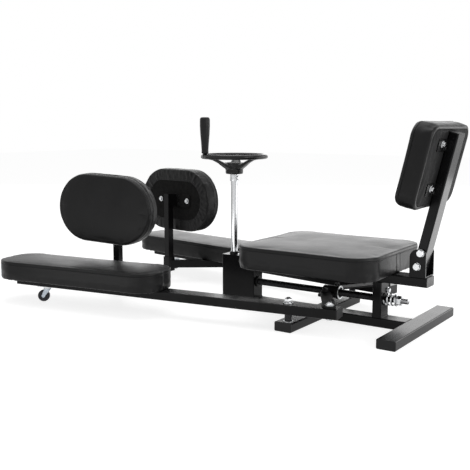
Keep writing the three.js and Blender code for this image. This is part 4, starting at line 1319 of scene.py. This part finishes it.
def add_welds():
    half = TUBE_WIDTH / 2 - 3
    above_beam = TUBE_HEIGHT + WELD_OFF
    under_rail = RAIL_BOTTOM - WELD_OFF
    housing = HOUSING_REAR_X + WELD_OFF
    low = TUBE_HEIGHT - 1
    made = Shape()
    for x in (POST_REAR_X, POST_FRONT_X):
        for z in (above_beam, under_rail):
            weld(made, (x, -half, z), (x, half, z))
    for z in (above_beam, under_rail, RAIL_BOTTOM + TUBE_HEIGHT + WELD_OFF):
        weld(made, (housing, -half, z), (housing, half, z))
    for side in (-1, 1):
        face = side * TUBE_WIDTH / 2
        weld(made, (housing, face, RAIL_BOTTOM + 3), (housing, face, HOUSING_TOP - 5))
        foot = [(FRONT_FOOT_X + end, face, low) for end in (-half, half)]
        weld(made, *foot, THIN_WELD_RADIUS)
    rear = REAR_FOOT_X - TUBE_WIDTH / 2
    weld(made, (rear, -half, low), (rear, half, low), THIN_WELD_RADIUS)
    made.piece("frame_welds", "black_paint", "frame", smooth=60)
    upright = Shape()
    for height in CLAMP_HEIGHTS:
        level = BACK_PAD_START + height
        for side in (-1, 1):
            y = side * (half + 3.6)
            weld(upright, (-12, y, level - 15), (-12, y, level + 15), THIN_WELD_RADIUS)
    upright.piece("clamp_welds", "black_paint", "frame", place=BACK, smooth=60)


def add_frame_bolts():
    made = Shape()
    made.add_all(screw_head(13, 6, 20), at(POST_REAR_X + 0.2, POST_BOLT_Y, POST_BOLT_Z) @ TO_X)
    made.piece("post_bolt", "zinc", "frame")
    top = Shape()
    top.add_all(screw_head(10, 4, 16), at(HOUSING_BOLT_X, HOUSING_BOLT_Y, HOUSING_TOP))
    top.piece("housing_bolt", "zinc", "frame")


add_handwheel()
add_grip()
add_shaft()
add_lead_screw()
add_spring()
add_travel_nut()
add_link_bolts()
add_pivot_studs()
add_back_bolts()
add_pad_plates()
add_clamp_bolts()
add_frame_bolts()
add_welds()


# Camera, light and floor

def area_light(name, place, target, size, power, size_y=None):
    light = bpy.data.lights.new(name, "AREA")
    light.energy = power
    light.shape = "RECTANGLE"
    light.size = size
    light.size_y = size_y or size
    lamp = bpy.data.objects.new(name, light)
    lamp.location = place
    aim = Vector(target) - Vector(place)
    lamp.rotation_euler = aim.to_track_quat("-Z", "Y").to_euler()
    lamp.visible_camera = False
    bpy.context.scene.collection.objects.link(lamp)


def empty_tree(owner):
    owner.use_nodes = True
    owner.node_tree.nodes.clear()
    return owner.node_tree


def wired(tree, kind, *sources, **values):
    """A new node with values on its sockets and the sources linked to its first inputs."""
    made = tree.nodes.new(kind)
    for key, value in values.items():
        made.inputs[key].default_value = value
    for i, source in enumerate(sources):
        tree.links.new(source, made.inputs[i])
    return made


def is_seen(tree):
    """1 for camera, glossy and transmission rays."""
    path = wired(tree, "ShaderNodeLightPath")
    total = path.outputs["Is Camera Ray"]
    for ray in ("Is Glossy Ray", "Is Transmission Ray"):
        larger = wired(tree, "ShaderNodeMath", total, path.outputs[ray])
        larger.operation = "MAXIMUM"
        total = larger.outputs[0]
    return total


def set_world():
    world = bpy.data.worlds.new("studio")
    bpy.context.scene.world = world
    tree = empty_tree(world)
    soft = wired(tree, "ShaderNodeBackground", Strength=WORLD_LEVEL)
    white = wired(tree, "ShaderNodeBackground", Strength=1.0, Color=(1, 1, 1, 1))
    mix = wired(tree, "ShaderNodeMixShader", is_seen(tree), soft.outputs[0], white.outputs[0])
    wired(tree, "ShaderNodeOutputWorld", mix.outputs[0])


def add_floor():
    corners = [(x * FLOOR_HALF, y * FLOOR_HALF, 0) for x, y in ((-1, -1), (1, -1), (1, 1), (-1, 1))]
    mesh = bpy.data.meshes.new("floor")
    mesh.from_pydata(corners, [], [(0, 1, 2, 3)])
    floor = bpy.data.objects.new("floor", mesh)
    bpy.context.scene.collection.objects.link(floor)
    material = bpy.data.materials.new("pale_floor")
    tree = empty_tree(material)
    matt = wired(tree, "ShaderNodeBsdfDiffuse", Color=(FLOOR_COLOUR, FLOOR_COLOUR, FLOOR_COLOUR, 1))
    shine = wired(tree, "ShaderNodeEmission", Strength=FLOOR_SHINE)
    dark = wired(tree, "ShaderNodeEmission", Strength=0.0)
    seen = wired(tree, "ShaderNodeMixShader", is_seen(tree), dark.outputs[0], shine.outputs[0])
    both = wired(tree, "ShaderNodeAddShader", seen.outputs[0], matt.outputs[0])
    wired(tree, "ShaderNodeOutputMaterial", both.outputs[0])
    mesh.materials.append(material)


def add_camera():
    data = bpy.data.cameras.new("camera")
    data.lens = CAMERA_LENS
    data.sensor_width = CAMERA_SENSOR
    data.shift_y = CAMERA_SHIFT
    camera = bpy.data.objects.new("camera", data)
    camera.location = CAMERA_PLACE
    camera.rotation_euler = (CAMERA_PITCH, 0, CAMERA_TURN)
    bpy.context.scene.collection.objects.link(camera)
    bpy.context.scene.camera = camera


add_camera()
set_world()
add_floor()
area_light("right_light", place=(3.2, -0.2, 1.1), target=(0, 0, 0.3), size=1.6, power=36)
area_light("top_light", place=(-0.4, 0.2, 2.8), target=(0, 0, 0.2), size=2.4, power=35)
area_light("far_light", place=(-2.6, 4.2, 1.3), target=(0, 0, 0.2), size=4.4, size_y=2.2, power=44)
area_light("rear_light", place=(2.6, 3.4, 0.75), target=(0.4, 0, 0.2), size=2.4, size_y=1.3, power=24)
area_light(
    "front_light", place=(-0.1, -1.15, 0.08), target=(0.3, -0.2, 0.16),
    size=1.4, size_y=0.15, power=1.2,
)
area_light("low_light", place=(0.97, 0.5, 0.18), target=(0.66, 0, 0.28), size=0.55, size_y=0.34, power=1.1)
bpy.context.scene.view_settings.view_transform = "Standard"
